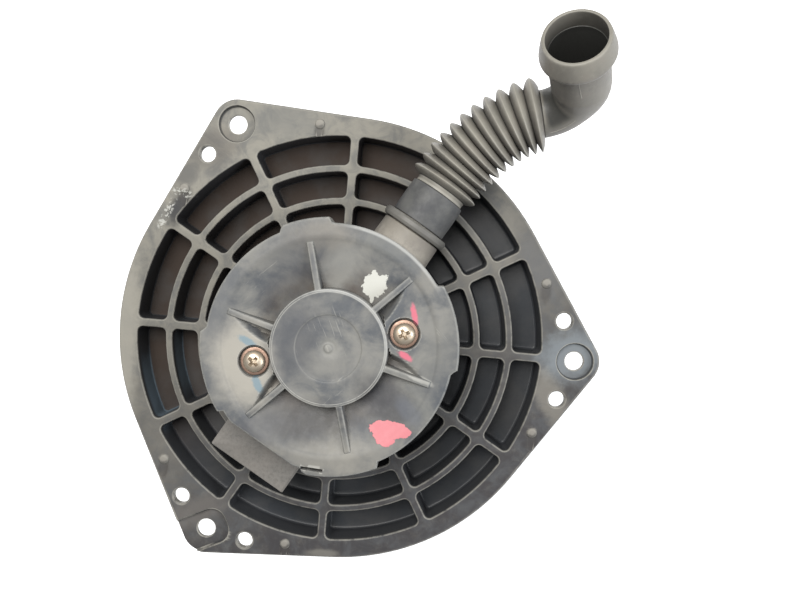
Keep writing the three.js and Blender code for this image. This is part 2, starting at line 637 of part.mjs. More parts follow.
piece('spout_seal_ring', radialTurn(
  [[sealRing.hole, sealRing.from], [sealRing.out - 0.8, sealRing.from], [sealRing.out, sealRing.from + 0.9],
    [sealRing.out, sealRing.to - 0.9], [sealRing.out - 0.8, sealRing.to], [sealRing.hole, sealRing.to]],
  spout.turn, spout.z, 24,
), ...look.rubber);
piece('hose_cuff', radialTurn(
  [[cuff.hole, cuff.from], [cuff.out, cuff.from], [cuff.out, cuff.to], [8.5, cuff.to],
    [8.5, spout.end + GAP], [cuff.hole, spout.end + GAP]],
  spout.turn, spout.z, 24,
), ...look.cuff);
piece('bellows_inner', foldedTube(0, 5), ...look.rubber);
piece('bellows_middle_fold', foldedTube(5, 1), ...look.rubber);
piece('bellows_outer', foldedTube(6, 5), ...look.rubber);
piece('hose_elbow', hoseElbow(), ...look.rubber);

export default group;
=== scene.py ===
"""Cabin blower motor with its mounting flange and cooling hose.

Shapes are worked out in millimetres, with the origin on the motor axis in the seating plane of the ears
and +Z towards the cap. They become metres when a mesh is made.
"""
import math

import bpy
import bmesh
from mathutils import Matrix, Vector, geometry, noise


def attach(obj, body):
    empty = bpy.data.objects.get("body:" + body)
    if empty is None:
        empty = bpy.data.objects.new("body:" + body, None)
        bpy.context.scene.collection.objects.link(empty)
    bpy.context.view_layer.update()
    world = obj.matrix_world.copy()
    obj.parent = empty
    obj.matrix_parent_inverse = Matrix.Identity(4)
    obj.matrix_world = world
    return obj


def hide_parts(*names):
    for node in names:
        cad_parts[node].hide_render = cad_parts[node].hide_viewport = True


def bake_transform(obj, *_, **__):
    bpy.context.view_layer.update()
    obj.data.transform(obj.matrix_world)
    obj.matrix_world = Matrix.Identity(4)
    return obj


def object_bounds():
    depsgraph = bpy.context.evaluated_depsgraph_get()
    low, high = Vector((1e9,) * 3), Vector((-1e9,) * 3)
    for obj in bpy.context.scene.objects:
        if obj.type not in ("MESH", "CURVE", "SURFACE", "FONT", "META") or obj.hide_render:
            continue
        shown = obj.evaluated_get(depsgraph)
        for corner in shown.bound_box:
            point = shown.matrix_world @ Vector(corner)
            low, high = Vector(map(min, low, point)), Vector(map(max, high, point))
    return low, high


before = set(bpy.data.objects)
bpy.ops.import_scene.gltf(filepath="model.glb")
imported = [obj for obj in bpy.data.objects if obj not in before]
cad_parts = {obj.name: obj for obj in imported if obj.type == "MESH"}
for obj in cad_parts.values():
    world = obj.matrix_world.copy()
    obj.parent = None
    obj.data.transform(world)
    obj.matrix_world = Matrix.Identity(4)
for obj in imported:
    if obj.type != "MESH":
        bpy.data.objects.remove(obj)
cad_low, cad_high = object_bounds()

MM = 0.001
SMOOTH_ANGLE = math.radians(38)

# ---- driving dimensions
TOP, PLATE_FOOT, FLOOR, UNDERSIDE = 4.0, 0.6, -8.0, -10.5
RIM, DISH_WALL, EAR_AT, EAR_TIP = 86.2, 80.9, 92.0, 9.6
UPPER_EAR, LOWER_EAR = 120, 240
EARS = (0, UPPER_EAR, LOWER_EAR)
PIP_AT, PIPS = 83.5, [turn + way * 20.4 for turn in EARS for way in (1, -1)]
EAR_HOLE, SIDE_HOLE, SIDE_HOLE_AT, SIDE_HOLE_TURN, RECESS, PAD = 3.6, 3.1, 87.8, 10, 7.0, 7.2
RIBS, RIB, RING_RIB, RINGS = 12, 3.3, 2.7, (53.75, 66.3)
POCKET_IN, POCKET_OUT, CORNER = 43.4, 78.7, 2.0
WELL, WELL_WALL, WELL_TOP, WELL_FLOOR = 39.3, 41.5, 31.2, 35.2
CAP_TOP, CAP_SKIRT, CAP_RIM, CAP_LOBE, CAP_INSIDE = 34.0, 24.0, 44.0, 46.0, 41.9
BOSS, BOSS_TOP, VALLEY, SHOULDER, PAD_TOP = 20.8, 35.5, 28.8, 38.5, 33.4
LOBES, SLIT_TURN = ((93, 117.5), (-6.7, 35), (261, 298), (176, 216)), 266.8
GUSSETS = (45, 105, 165, 225, 285, 345)
SCREW_AT, SCREWS = 27.0, (15.5, 195.5)
SPOUT_TURN, SPOUT_Z, SPOUT_BASE, SPOUT_PIPE, SPOUT_BORE = 60, 18.5, 11.6, 9.6, 8.2
BRUSH_TURN, BRUSH_Z, SPRING_FROM, SPRING_TO = 105.5, 14.6, 19.9, 26.3
PLUG_TURN, PLUG_HALF, PLUG_IN, PLUG_OUT = 240, 16.25, 38.8, 57.5
PLUG_FOOT, PLUG_TOP, PLUG_WALL, CAP_BESIDE_PLUG = 6.0, 18.0, 1.6, 41.9


# ---- plane geometry
def rad(degrees):
    return math.radians(degrees)


def polar(radius, turn, z=0.0):
    return Vector((radius * math.cos(rad(turn)), radius * math.sin(rad(turn)), z))


def arc(centre, radius, start, end, steps):
    """Points of an arc at the height of its centre, both ends included."""
    return [centre + polar(radius, start + (end - start) * i / steps) for i in range(steps + 1)]


def lift(points, z):
    return [Vector((p.x, p.y, z)) for p in points]


def smooth(low, high, value):
    share = min(max((value - low) / (high - low), 0.0), 1.0)
    return share * share * (3 - 2 * share)


def softened(outline, steps=4):
    """A closed outline of (x, y, corner radius), with each corner turned into an arc."""
    points = []
    for k, (x, y, radius) in enumerate(outline):
        here = Vector((x, y))
        if radius == 0:
            points.append(here)
            continue
        back = (Vector(outline[k - 1][:2]) - here).normalized()
        ahead = (Vector(outline[(k + 1) % len(outline)][:2]) - here).normalized()
        half = back.angle(ahead) / 2
        centre = here + (back + ahead).normalized() * (radius / math.sin(half))
        first = here + back * (radius / math.tan(half)) - centre
        last = here + ahead * (radius / math.tan(half)) - centre
        start = math.atan2(first.y, first.x)
        swing = math.remainder(math.atan2(last.y, last.x) - start, math.tau)
        for i in range(steps + 1):
            angle = start + swing * i / steps
            points.append(centre + Vector((math.cos(angle), math.sin(angle))) * radius)
    return points


# ---- meshes
class Build:
    """Loops of points in millimetres and the faces between them, made into one object at the end."""

    def __init__(self):
        self.points = []
        self.faces = []

    def loop(self, points):
        first = len(self.points)
        self.points.extend(Vector(p) for p in points)
        return list(range(first, len(self.points)))

    def bridge(self, low, high):
        if len(low) == 1 and len(high) == 1:
            return
        count = max(len(low), len(high))
        for i in range(count):
            j = (i + 1) % count
            if len(low) == 1:
                self.faces.append((low[0], high[j], high[i]))
            elif len(high) == 1:
                self.faces.append((low[i], low[j], high[0]))
            else:
                self.faces.append((low[i], low[j], high[j], high[i]))

    def levels(self, loops_of_points, closed=False):
        """Adds each list of points as a loop, skins them, and returns the first and the last loop."""
        loops = [self.loop(points) for points in loops_of_points]
        for low, high in zip(loops, loops[1:]):
            self.bridge(low, high)
        if closed:
            self.bridge(loops[-1], loops[0])
        return loops[0], loops[-1]

    def fill(self, *loops):
        """A flat face inside the first loop and outside the others."""
        flat = [i for loop in loops for i in loop]
        outlines = [[self.points[i] for i in loop] for loop in loops]
        for corners in geometry.tessellate_polygon(outlines):
            self.faces.append(tuple(flat[c] for c in corners))

    def solid(self, loops_of_points):
        """Skins the loops and closes both ends."""
        for end in self.levels(loops_of_points):
            self.fill(end)
        return self

    def revolve(self, profile, sides, frame_at):
        """Turns a closed outline of (radius, along) about a line; frame_at(along) is (centre, side, up)."""
        loops = []
        for radius, along in profile:
            centre, side, up = frame_at(along)
            if radius == 0:
                loops.append([centre])
                continue
            turns = [math.tau * i / sides for i in range(sides)]
            loops.append([centre + side * (radius * math.cos(turn)) + up * (radius * math.sin(turn))
                          for turn in turns])
        self.levels(loops, closed=True)
        return self

    def make(self, name):
        mesh = bpy.data.meshes.new(name)
        mesh.from_pydata([p * MM for p in self.points], [], self.faces)
        shell = bmesh.new()
        shell.from_mesh(mesh)
        bmesh.ops.remove_doubles(shell, verts=shell.verts, dist=1e-7)
        bmesh.ops.recalc_face_normals(shell, faces=shell.faces)
        shell.to_mesh(mesh)
        shell.free()
        piece = bpy.data.objects.new(name, mesh)
        bpy.context.scene.collection.objects.link(piece)
        return piece


def about(centre):
    """Turning about a vertical line through a point."""
    return lambda along: (Vector((centre.x, centre.y, along)), Vector((1, 0, 0)), Vector((0, 1, 0)))


def along_radius(turn, z):
    """Turning about a level line that runs outwards from the motor axis."""
    return lambda along: (polar(along, turn, z), polar(1, turn + 90), Vector((0, 0, 1)))


ON_SPOUT = along_radius(SPOUT_TURN, SPOUT_Z)


def turned(name, profile, sides, frame_at):
    """A piece turned from a closed outline of (radius, along)."""
    return Build().revolve(profile, sides, frame_at).make(name)


def turned_on_spout(name, *outline):
    """A piece turned about the spout's axis, from (radius, along, corner radius)."""
    return turned(name, softened(outline, 3), 56, ON_SPOUT)


def carve(piece, *cutters):
    """Takes the cutters' shapes out of a piece."""
    for cutter in cutters:
        cut = piece.modifiers.new("carve", "BOOLEAN")
        cut.operation = "DIFFERENCE"
        cut.solver = "MANIFOLD"
        cut.object = cutter
    ready = piece.evaluated_get(bpy.context.evaluated_depsgraph_get())
    mesh = bpy.data.meshes.new_from_object(ready)
    piece.modifiers.clear()
    piece.data = mesh
    for cutter in cutters:
        bpy.data.objects.remove(cutter)


def mark_edges(mesh):
    """Writes how far each vertex stands out from its neighbours, for edges lightened by wear and by painted
    highlight.
    """
    shell = bmesh.new()
    shell.from_mesh(mesh)
    values = []
    for vertex in shell.verts:
        bends = []
        for edge in vertex.link_edges:
            way = vertex.co - edge.other_vert(vertex).co
            if way.length > 1e-7:
                bends.append(vertex.normal.dot(way) / way.length)
        values.append(max(bends, default=0.0) * 0.9)
    shell.free()
    layer = mesh.attributes.new("edge", "FLOAT", "POINT")
    layer.data.foreach_set("value", values)


def finish_piece(piece, material, body, nodes, weighted=True):
    """Shading, material, the body it rides on, and the solids it stands for."""
    mesh = piece.data
    mesh.materials.clear()
    mesh.materials.append(material)
    mesh.shade_smooth()
    mesh.set_sharp_from_angle(angle=SMOOTH_ANGLE)
    mark_edges(mesh)
    if weighted:
        even = piece.modifiers.new("even", "WEIGHTED_NORMAL")
        even.keep_sharp = True
        even.weight = 90
    if body:
        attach(piece, body)
    if nodes:
        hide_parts(*nodes)


# ---- materials
def shade(value):
    """A colour given in 0 to 255 display steps, as a linear colour."""
    def linear(step):
        part = step / 255
        return part / 12.92 if part <= 0.04045 else ((part + 0.055) / 1.055) ** 2.4
    return tuple(linear(step) for step in value) + (1.0,)


class Look:
    """A node material being put together. Its coordinates are the object's own, in millimetres."""

    def __init__(self, name, roughness=0.6, metallic=0.0, specular=0.5):
        self.material = bpy.data.materials.new(name)
        self.material.use_nodes = True
        self.nodes = self.material.node_tree.nodes
        self.shader = self.nodes["Principled BSDF"]
        self.plug(self.shader, {"Roughness": roughness, "Metallic": metallic,
                                "Specular IOR Level": specular})
        place = self.node("ShaderNodeTexCoord")["Object"]
        self.place = self.vector("SCALE", place, scale=1 / MM)["Vector"]

    def plug(self, node, inputs):
        """Links sockets to a node's inputs and sets the inputs that are given plain values."""
        for key, value in inputs.items():
            if isinstance(value, bpy.types.NodeSocket):
                self.material.node_tree.links.new(value, node.inputs[key])
            elif value is not None:
                node.inputs[key].default_value = value

    def node(self, kind, inputs=(), **settings):
        """The outputs of a new node with these inputs and settings."""
        node = self.nodes.new(kind)
        for key, value in settings.items():
            setattr(node, key, value)
        self.plug(node, dict(inputs))
        return node.outputs

    def vector(self, operation, first, second=None, scale=None):
        inputs = {0: first, 1: second} if scale is None else {0: first, "Scale": scale}
        return self.node("ShaderNodeVectorMath", inputs, operation=operation)

    def length(self, vector):
        return self.vector("LENGTH", vector)["Value"]

    def math(self, operation, first, second=None):
        return self.node("ShaderNodeMath", {0: first, 1: second}, operation=operation)[0]

    def plus(self, first, second):
        return self.math("ADD", first, second)

    def minus(self, first, second):
        return self.math("SUBTRACT", first, second)

    def times(self, first, *others):
        for other in others:
            first = self.math("MULTIPLY", first, other)
        return first

    def most(self, first, *others):
        for other in others:
            first = self.math("MAXIMUM", first, other)
        return first

    def spread(self, value, low, high, out_low=0.0, out_high=1.0):
        """A smooth step from one value at low to another at high."""
        names = ("Value", "From Min", "From Max", "To Min", "To Max")
        inputs = zip(names, (value, low, high, out_low, out_high))
        return self.node("ShaderNodeMapRange", inputs, interpolation_type="SMOOTHSTEP")["Result"]

    def noise(self, size, detail=4.0, roughness=0.55, place=None, distortion=0.0):
        """Noise with features of about that many millimetres, from 0 to 1."""
        inputs = {"Vector": self.place if place is None else place, "Scale": 1 / size, "Detail": detail,
                  "Roughness": roughness, "Distortion": distortion}
        return self.node("ShaderNodeTexNoise", inputs)["Fac"]

    def mix(self, share, first, second):
        return self.node("ShaderNodeMix", {0: share, 6: first, 7: second}, data_type="RGBA")[2]

    def between(self, share, first, second):
        """A colour between two tones given in display steps."""
        return self.mix(share, shade(first), shade(second))

    def stain(self, colour, mask, share, tone):
        """The colour with a share of a tone laid over it inside the mask."""
        return self.mix(self.times(mask, share), colour, shade(tone))

    def split(self, vector):
        return self.node("ShaderNodeSeparateXYZ", {0: vector})

    def attribute(self, name):
        return self.node("ShaderNodeAttribute", attribute_name=name)["Fac"]

    def edge_wear_and_highlight(self, low, high, fine, fine_low, fine_high):
        """A mask of edges that stand out, broken up by fine noise."""
        edges = self.spread(self.attribute("edge"), low, high)
        return self.times(edges, self.spread(fine, fine_low, fine_high))

    def axis_distance(self):
        return self.length(self.vector("MULTIPLY", self.place, (1, 1, 0))["Vector"])

    def facing_up(self):
        """How far the surface faces the object's own +Z, from -1 to 1."""
        normal = self.node("ShaderNodeNewGeometry")["Normal"]
        own = self.node("ShaderNodeVectorTransform", {0: normal}, vector_type="NORMAL",
                        convert_from="WORLD", convert_to="OBJECT")
        return self.split(own[0])[2]

    def moved(self, centre, turn, scale):
        """Coordinates about a point of the top, turned, with each axis measured in its own unit."""
        inputs = {"Vector": self.place, "Location": (*centre, 0), "Rotation": (0, 0, rad(turn)),
                  "Scale": scale}
        return self.node("ShaderNodeMapping", inputs, vector_type="TEXTURE")[0]

    def patch(self, centre, turn, size, ragged, grain, edge):
        """A mask that is 1 inside a ragged ellipse on the top and 0 outside."""
        far = self.length(self.moved(centre, turn, (*size, 1e4)))
        rough = self.times(self.minus(self.noise(grain, 5, 0.65), 0.5), 2 * ragged)
        return self.spread(self.plus(far, rough), 1 - edge, 1 + edge, 1.0, 0.0)

    def patches(self, *rows):
        return self.most(*[self.patch(*row) for row in rows])

    def bump(self, height, strength, distance, below=None):
        inputs = {"Height": height, "Strength": strength, "Distance": distance * MM, "Normal": below}
        return self.node("ShaderNodeBump", inputs)[0]

    def relief(self, *layers):
        """Bumps on bumps, each from (size, detail, roughness, strength, distance) of its noise."""
        below = None
        for size, detail, roughness, strength, distance in layers:
            below = self.bump(self.noise(size, detail, roughness), strength, distance, below)
        return below

    def done(self, colour, normal=None, roughness=None):
        self.plug(self.shader, {"Base Color": colour, "Normal": normal, "Roughness": roughness})
        return self.material


def flange_look():
    """Dark moulded plastic under dust: beige on the tops, brown and grey on the pocket floors."""
    look = Look("dusty flange plastic", roughness=0.5, specular=0.25)
    x, y, z = look.split(look.place)
    blotch = look.noise(26, 5, 0.6)
    fine = look.noise(3.2, 6, 0.7)
    streaky = look.noise(9, 5, 0.65, distortion=0.8)
    facing = look.facing_up()
    up = look.spread(facing, 0.55, 0.95)
    top = look.times(up, look.spread(z, 0.4, 2.0))
    # the top colour runs from dark towards the bottom to pale beige towards the upper left, broken up by
    # blotches
    toward_upper_left = look.plus(look.minus(y, look.times(x, 0.6)), look.times(blotch, 70))
    tint = look.between(look.spread(toward_upper_left, -48, 120), (54, 52, 53), (126, 123, 114))
    tint = look.stain(tint, look.spread(streaky, 0.38, 0.68), 0.6, (76, 78, 80))
    tint = look.stain(tint, look.spread(fine, 0.45, 0.8), 0.22, (112, 109, 101))
    dusty = look.times(top, look.spread(blotch, 0.25, 0.6, 0.7, 0.97))
    colour = look.mix(dusty, look.between(fine, (42, 44, 47), (56, 57, 59)), tint)
    floor = look.times(up, look.spread(z, 0.5, -6.0))
    corner = look.spread(look.minus(y, x), -20, 60)
    tint = look.between(corner, (38, 41, 45), (50, 40, 33))
    tint = look.stain(tint, look.spread(look.noise(17, 4, 0.55), 0.4, 0.7), 0.55, (62, 61, 60))
    colour = look.mix(look.times(floor, 0.92), colour, tint)
    for centre, turn, size, tone, share in (
        ((90, 2), 20, (12, 9), (114, 120, 124), 0.7),
        ((84, -15), -60, (12, 5), (118, 114, 106), 0.6),
        ((-84, -8), 90, (34, 6), (140, 137, 128), 0.75),
        ((-53, 70), 35, (9, 7), (84, 79, 74), 0.5),
        ((-28, 82), 0, (14, 6), (98, 98, 95), 0.5),
        ((-66, 45.5), 68, (7.5, 3.4), (36, 37, 41), 0.85),
        ((-50, -73), 30, (12, 5), (98, 94, 90), 0.5),
        ((1, -84.5), 4, (6, 1.6), (108, 105, 99), 0.7),
        ((-62, 62), 60, (12, 4), (84, 82, 78), 0.5),
        ((74, 36), -60, (12, 5), (92, 92, 92), 0.5),
    ):
        mark = look.times(look.patch(centre, turn, size, 0.5, 4, 0.5), top)
        colour = look.stain(colour, mark, share, tone)
    for turn in PIPS:
        at = polar(PIP_AT, turn)
        # painted shade darkens each pip's trail, and a painted highlight lightens the top of each pip
        trail = look.times(look.patch((at.x, at.y - 3.2), 90, (4.2, 2.0), 0.4, 2, 0.4), up)
        colour = look.stain(colour, trail, 0.55, (56, 53, 51))
        head = look.patch((at.x - 0.2, at.y + 0.5), 20, (1.7, 1.3), 0.5, 1.5, 0.4)
        colour = look.stain(colour, head, 0.6, (142, 138, 130))
    sheen = look.times(look.minus(1.0, up), look.spread(z, 3.0, 0.0),
                       look.patch((-72, -28), 65, (26, 11), 0.3, 7, 0.4))
    colour = look.stain(colour, sheen, 0.75, (96, 110, 120))
    chips = look.patches(((-70.6, 43), 66, (7, 1.5), 0.6, 2, 0.3), ((-65, 51.5), -8, (4, 1.6), 0.6, 2, 0.3))
    chips = look.times(chips, look.spread(look.noise(1.1, 3, 0.6), 0.5, 0.56))
    colour = look.stain(colour, chips, 0.8, (170, 170, 164))
    # edges that stand out are lightened: wear, and painted highlight on the rounded rims
    edge_wear_and_highlight = look.times(look.edge_wear_and_highlight(0.06, 0.34, fine, 0.25, 0.55), look.spread(facing, 0.998, 0.97))
    colour = look.stain(colour, edge_wear_and_highlight, look.spread(z, -3, 2, 0.15, 0.75), (148, 145, 137))
    rough = look.spread(look.plus(dusty, look.times(fine, 0.4)), 0, 1.2, 0.38, 0.62)
    rough = look.plus(look.times(corner, floor, 0.35), rough)
    return look.done(colour, look.relief((0.9, 4, 0.6, 0.25, 0.12), (7, 3, 0.5, 0.3, 0.25)), rough)


def cap_look():
    """Grey moulded cap: dusty slopes, brown painted shade in the hollows, painted highlights on the rims,
    scratches, and dabs of inspection paint.
    """
    look = Look("dusty cap plastic", roughness=0.52, specular=0.3)
    z = look.split(look.place)[2]
    blotch = look.noise(15, 5, 0.6, distortion=0.4)
    fine = look.noise(2.4, 6, 0.7)
    flat = look.spread(look.facing_up(), 0.8, 0.98)
    colour = look.between(look.spread(blotch, 0.33, 0.63), (72, 75, 79), (112, 111, 107))
    colour = look.stain(colour, look.spread(fine, 0.45, 0.8), 0.3, (122, 120, 113))
    # painted shade: browner and darker low in the valley round the boss, broken up by noise
    low = look.times(look.spread(z, 32.4, 28.8), look.spread(look.noise(12, 3), 0.3, 0.62))
    colour = look.stain(colour, low, 0.75, (74, 66, 60))
    for centre, turn, size, ragged, grain, edge, tone, share in (
        ((-29, -7.5), 15, (11, 15), 0.35, 7, 0.4, (148, 144, 135), 0.85),
        ((-5, 39), 15, (11, 5), 0.5, 4, 0.6, (124, 119, 110), 0.6),
        ((2, -39), 0, (19, 6), 0.6, 5, 0.6, (126, 123, 115), 0.65),
        ((34, -20), -60, (14, 5), 0.5, 6, 0.6, (120, 119, 112), 0.4),
        ((33, 27), 40, (7, 4), 0.5, 3, 0.5, (128, 125, 117), 0.5),
        ((22, -18), -35, (12, 7), 0.4, 5, 0.5, (54, 54, 57), 0.85),
        ((30, -20), -45, (6, 3), 0.4, 5, 0.5, (86, 90, 98), 0.5),
        ((-8, -27), 10, (16, 7), 0.4, 6, 0.6, (66, 64, 62), 0.75),
        ((-14, 30), 30, (14, 9), 0.4, 6, 0.6, (70, 71, 74), 0.5),
        ((33, -8), -20, (5, 1.2), 0.4, 2, 0.3, (160, 159, 153), 0.7),
        ((-24, -33), 35, (12, 6), 0.4, 6, 0.6, (80, 81, 84), 0.6),
        ((-12, 2), 80, (14, 8), 0.4, 6, 0.6, (64, 66, 71), 0.7),
        ((2, 28), 60, (9, 5), 0.5, 6, 0.6, (126, 125, 120), 0.7),
        ((38, 2), 80, (12, 5), 0.5, 5, 0.6, (112, 111, 106), 0.5),
        ((18, 38), -25, (14, 4), 0.4, 5, 0.6, (90, 92, 92), 0.6),
        ((-40, 12), 80, (12, 4), 0.4, 5, 0.6, (92, 93, 94), 0.6),
        ((1, 0), 0, (3.6, 3.4), 0.6, 2, 0.5, (124, 123, 118), 0.7),
    ):
        mark = look.times(look.patch(centre, turn, size, ragged, grain, edge), flat)
        colour = look.stain(colour, mark, share, tone)
    # edges that stand out are lightened: wear, and painted highlight on the rims
    colour = look.stain(colour, look.edge_wear_and_highlight(0.08, 0.38, fine, 0.25, 0.55), 0.65, (156, 155, 149))
    far = look.axis_distance()
    rim_shine = look.times(look.spread(far, 42.4, 43.2), look.patch((21, 38), -32, (19, 9), 0.25, 4, 0.35))
    boss_shine = look.times(look.spread(far, 19.5, 20.1), look.spread(far, 21.2, 20.8),
                            look.patch((9, 12), -50, (19, 13), 0.3, 5, 0.4))
    colour = look.stain(colour, look.most(rim_shine, boss_shine), 0.6, (164, 164, 161))
    scratches = []
    for spin, centre, turn, size in ((-40, (3.6, -12.5), 50, (8, 3.6)), (25, (2, 6), 30, (15, 8)),
                                     (-42, (-26, 22), 45, (9, 5)), (43, (40, 7), -47, (5, 2))):
        line = look.spread(look.noise(0.7, 2, 0.5, look.moved((0, 0), spin, (1, 20, 1))), 0.65, 0.7)
        scratches.append(look.times(line, look.patch(centre, turn, size, 0.4, 4, 0.3)))
    scratch = look.most(*scratches)
    colour = look.stain(colour, scratch, 0.4, (148, 146, 140))
    for centre, turn, size, tone in (
        ((-28.9, -0.3), -25, (3.4, 1.3), (98, 122, 134)),
        ((-24.2, -15.0), -64, (3.4, 1.4), (98, 122, 134)),
        ((29.0, 14.2), -75, (3.8, 1.0), (196, 92, 112)),
        ((27.0, -0.4), -30, (2.6, 1.1), (196, 92, 112)),
    ):
        colour = look.stain(colour, look.patch(centre, turn, size, 0.5, 1.2, 0.35), 0.75, tone)
    white = look.patches(((13.9, 23.2), 20, (4.4, 4.2), 0.5, 1.3, 0.03),
                         ((13.4, 18.7), 84, (2.0, 0.7), 0.5, 0.9, 0.05),
                         ((13.5, 27.2), 95, (1.5, 0.9), 0.9, 0.9, 0.05),
                         ((16.8, 25.8), 40, (1.9, 1.3), 0.9, 0.9, 0.05))
    colour = look.mix(white, colour, shade((184, 184, 177)))
    pink = look.patches(((23.6, -27.0), 2, (6.9, 3.1), 0.4, 1.8, 0.03),
                        ((22.0, -29.8), -20, (3.9, 2.9), 0.4, 1.6, 0.03),
                        ((28.8, -27.4), 8, (2.8, 1.9), 0.4, 1.6, 0.03))
    colour = look.mix(pink, colour, shade((186, 113, 118)))
    bump = look.relief((0.8, 4, 0.6, 0.22, 0.1), (6, 3, 0.5, 0.3, 0.25))
    bump = look.bump(look.most(white, pink), 0.5, 0.15, bump)
    return look.done(colour, look.bump(scratch, -0.4, 0.1, bump), look.spread(fine, 0.2, 0.8, 0.42, 0.62))


def hose_look():
    """Dusty rubber: pale on the crests from dust, edge wear and painted highlight, and darker with grime and
    painted shade where the mesh says so.
    """
    look = Look("dusty hose rubber", roughness=0.5, specular=0.35)
    blotch = look.noise(12, 5, 0.6)
    fine = look.noise(1.8, 6, 0.7)
    up = look.spread(look.facing_up(), -0.3, 0.9)
    mask = look.times(up, look.spread(blotch, 0.25, 0.65, 0.55, 1.0))
    colour = look.between(mask, (82, 79, 76), (124, 121, 112))
    colour = look.stain(colour, look.spread(look.noise(6, 4), 0.45, 0.75), 0.35, (112, 104, 97))
    colour = look.stain(colour, look.spread(fine, 0.45, 0.8), 0.3, (140, 137, 128))
    # edges that stand out, the fold crests most, are lightened: wear, and painted highlight
    colour = look.stain(colour, look.edge_wear_and_highlight(0.12, 0.4, fine, 0.2, 0.5), 0.6, (150, 147, 138))
    # darker where the mesh's values say: grime, and painted shade in the fold valleys, the bores and the elbow's
    # inner corner
    grime_and_shade = look.spread(look.plus(look.attribute("dirt_and_shade"), look.times(fine, 0.2)), 0.1, 0.95)
    colour = look.mix(grime_and_shade, colour, shade((52, 52, 50)))
    bump = look.relief((0.7, 4, 0.65, 0.25, 0.1), (5, 3, 0.5, 0.2, 0.3))
    return look.done(colour, bump, look.spread(fine, 0.2, 0.8, 0.38, 0.56))


def rubber_look(name, dark, light, roughness=0.62):
    """Aged rubber or soft plastic with a film of dust."""
    look = Look(name, roughness=roughness)
    blotch = look.noise(14, 5, 0.6)
    fine = look.noise(1.8, 6, 0.7)
    up = look.spread(look.facing_up(), -0.1, 0.9)
    colour = look.between(look.times(up, look.spread(blotch, 0.25, 0.65, 0.35, 1.0)), dark, light)
    colour = look.stain(colour, look.spread(fine, 0.45, 0.8), 0.3, light)
    colour = look.stain(colour, look.edge_wear_and_highlight(0.1, 0.5, fine, 0.3, 0.6), 0.45, [c + 30 for c in light])
    bump = look.relief((0.7, 4, 0.65, 0.3, 0.1), (5, 3, 0.5, 0.25, 0.3))
    return look.done(colour, bump, look.spread(fine, 0.2, 0.8, roughness - 0.1, roughness + 0.1))


def plastic_look(name, dark, light, roughness=0.5, grain=9.0):
    """Moulded plastic with a little uneven colour and a fine moulded grain."""
    look = Look(name, roughness=roughness)
    fine = look.noise(1.2, 5, 0.7)
    colour = look.between(look.spread(look.noise(grain, 5, 0.6), 0.3, 0.7), dark, light)
    # edges that stand out are lightened: wear, and on the cuff painted highlight too
    colour = look.stain(colour, look.edge_wear_and_highlight(0.1, 0.5, fine, 0.3, 0.6), 0.4, [c + 40 for c in light])
    rough = look.spread(fine, 0.2, 0.8, roughness - 0.08, roughness + 0.08)
    return look.done(colour, look.relief((0.8, 4, 0.6, 0.25, 0.1)), rough)


def metal_look(name, base, stain, roughness=0.35, metallic=1.0):
    """Metal with stains of tarnish or dust in it."""
    look = Look(name, roughness=roughness, metallic=metallic)
    blotch = look.noise(2.5, 5, 0.65)
    colour = look.between(look.times(look.spread(blotch, 0.4, 0.65), 0.4), base, stain)
    rough = look.spread(blotch, 0.3, 0.7, roughness - 0.08, roughness + 0.15)
    return look.done(colour, look.relief((0.4, 4, 0.6, 0.2, 0.06)), rough)


def foam_look(name, dark, light):
    look = Look(name, roughness=0.95)
    cells = look.node("ShaderNodeTexVoronoi", {"Vector": look.place, "Scale": 1.6})
    pores = look.spread(cells["Distance"], 0.1, 0.6)
    return look.done(look.between(pores, dark, light), look.bump(pores, 0.6, 0.3))


def winding_look():
    """Enamelled copper wire wound side by side."""
    look = Look("enamelled copper wire", roughness=0.3, metallic=1.0)
    z = look.split(look.place)[2]
    rows = look.math("SINE", look.times(look.plus(look.axis_distance(), z), 7.0))
    strand = look.spread(rows, -1, 1)
    return look.done(look.between(strand, (120, 52, 24), (206, 118, 64)), look.bump(strand, 0.7, 0.3))


def segment_look():
    """Commutator copper, rubbed dark where the brushes run."""
    look = Look("commutator copper", roughness=0.28, metallic=1.0)
    z = look.split(look.place)[2]
    rubbed = look.spread(look.noise(0.5, 3, 0.6), 0.3, 0.7)
    band = look.times(look.spread(z, 11.5, 12.5), look.spread(z, 17.5, 16.5), rubbed)
    return look.done(look.between(band, (190, 112, 72), (92, 60, 44)), look.bump(rubbed, 0.3, 0.05))


# ---- flange
# how far round an ear the straight edges leave it, measured from the line away from the motor axis
TANGENT = math.degrees(math.acos((RIM - EAR_TIP) / EAR_AT))


def hull(inset, z, ear_steps=14, rim_steps=22):
    """The flange's outline: round the rim and round each ear, drawn in by the inset."""
    points = []
    for turn in EARS:
        points += arc(polar(EAR_AT, turn), EAR_TIP - inset, turn - TANGENT, turn + TANGENT, ear_steps)
        points += arc(Vector(), RIM - inset, turn + TANGENT, turn + 120 - TANGENT, rim_steps)
    return lift(points, z)


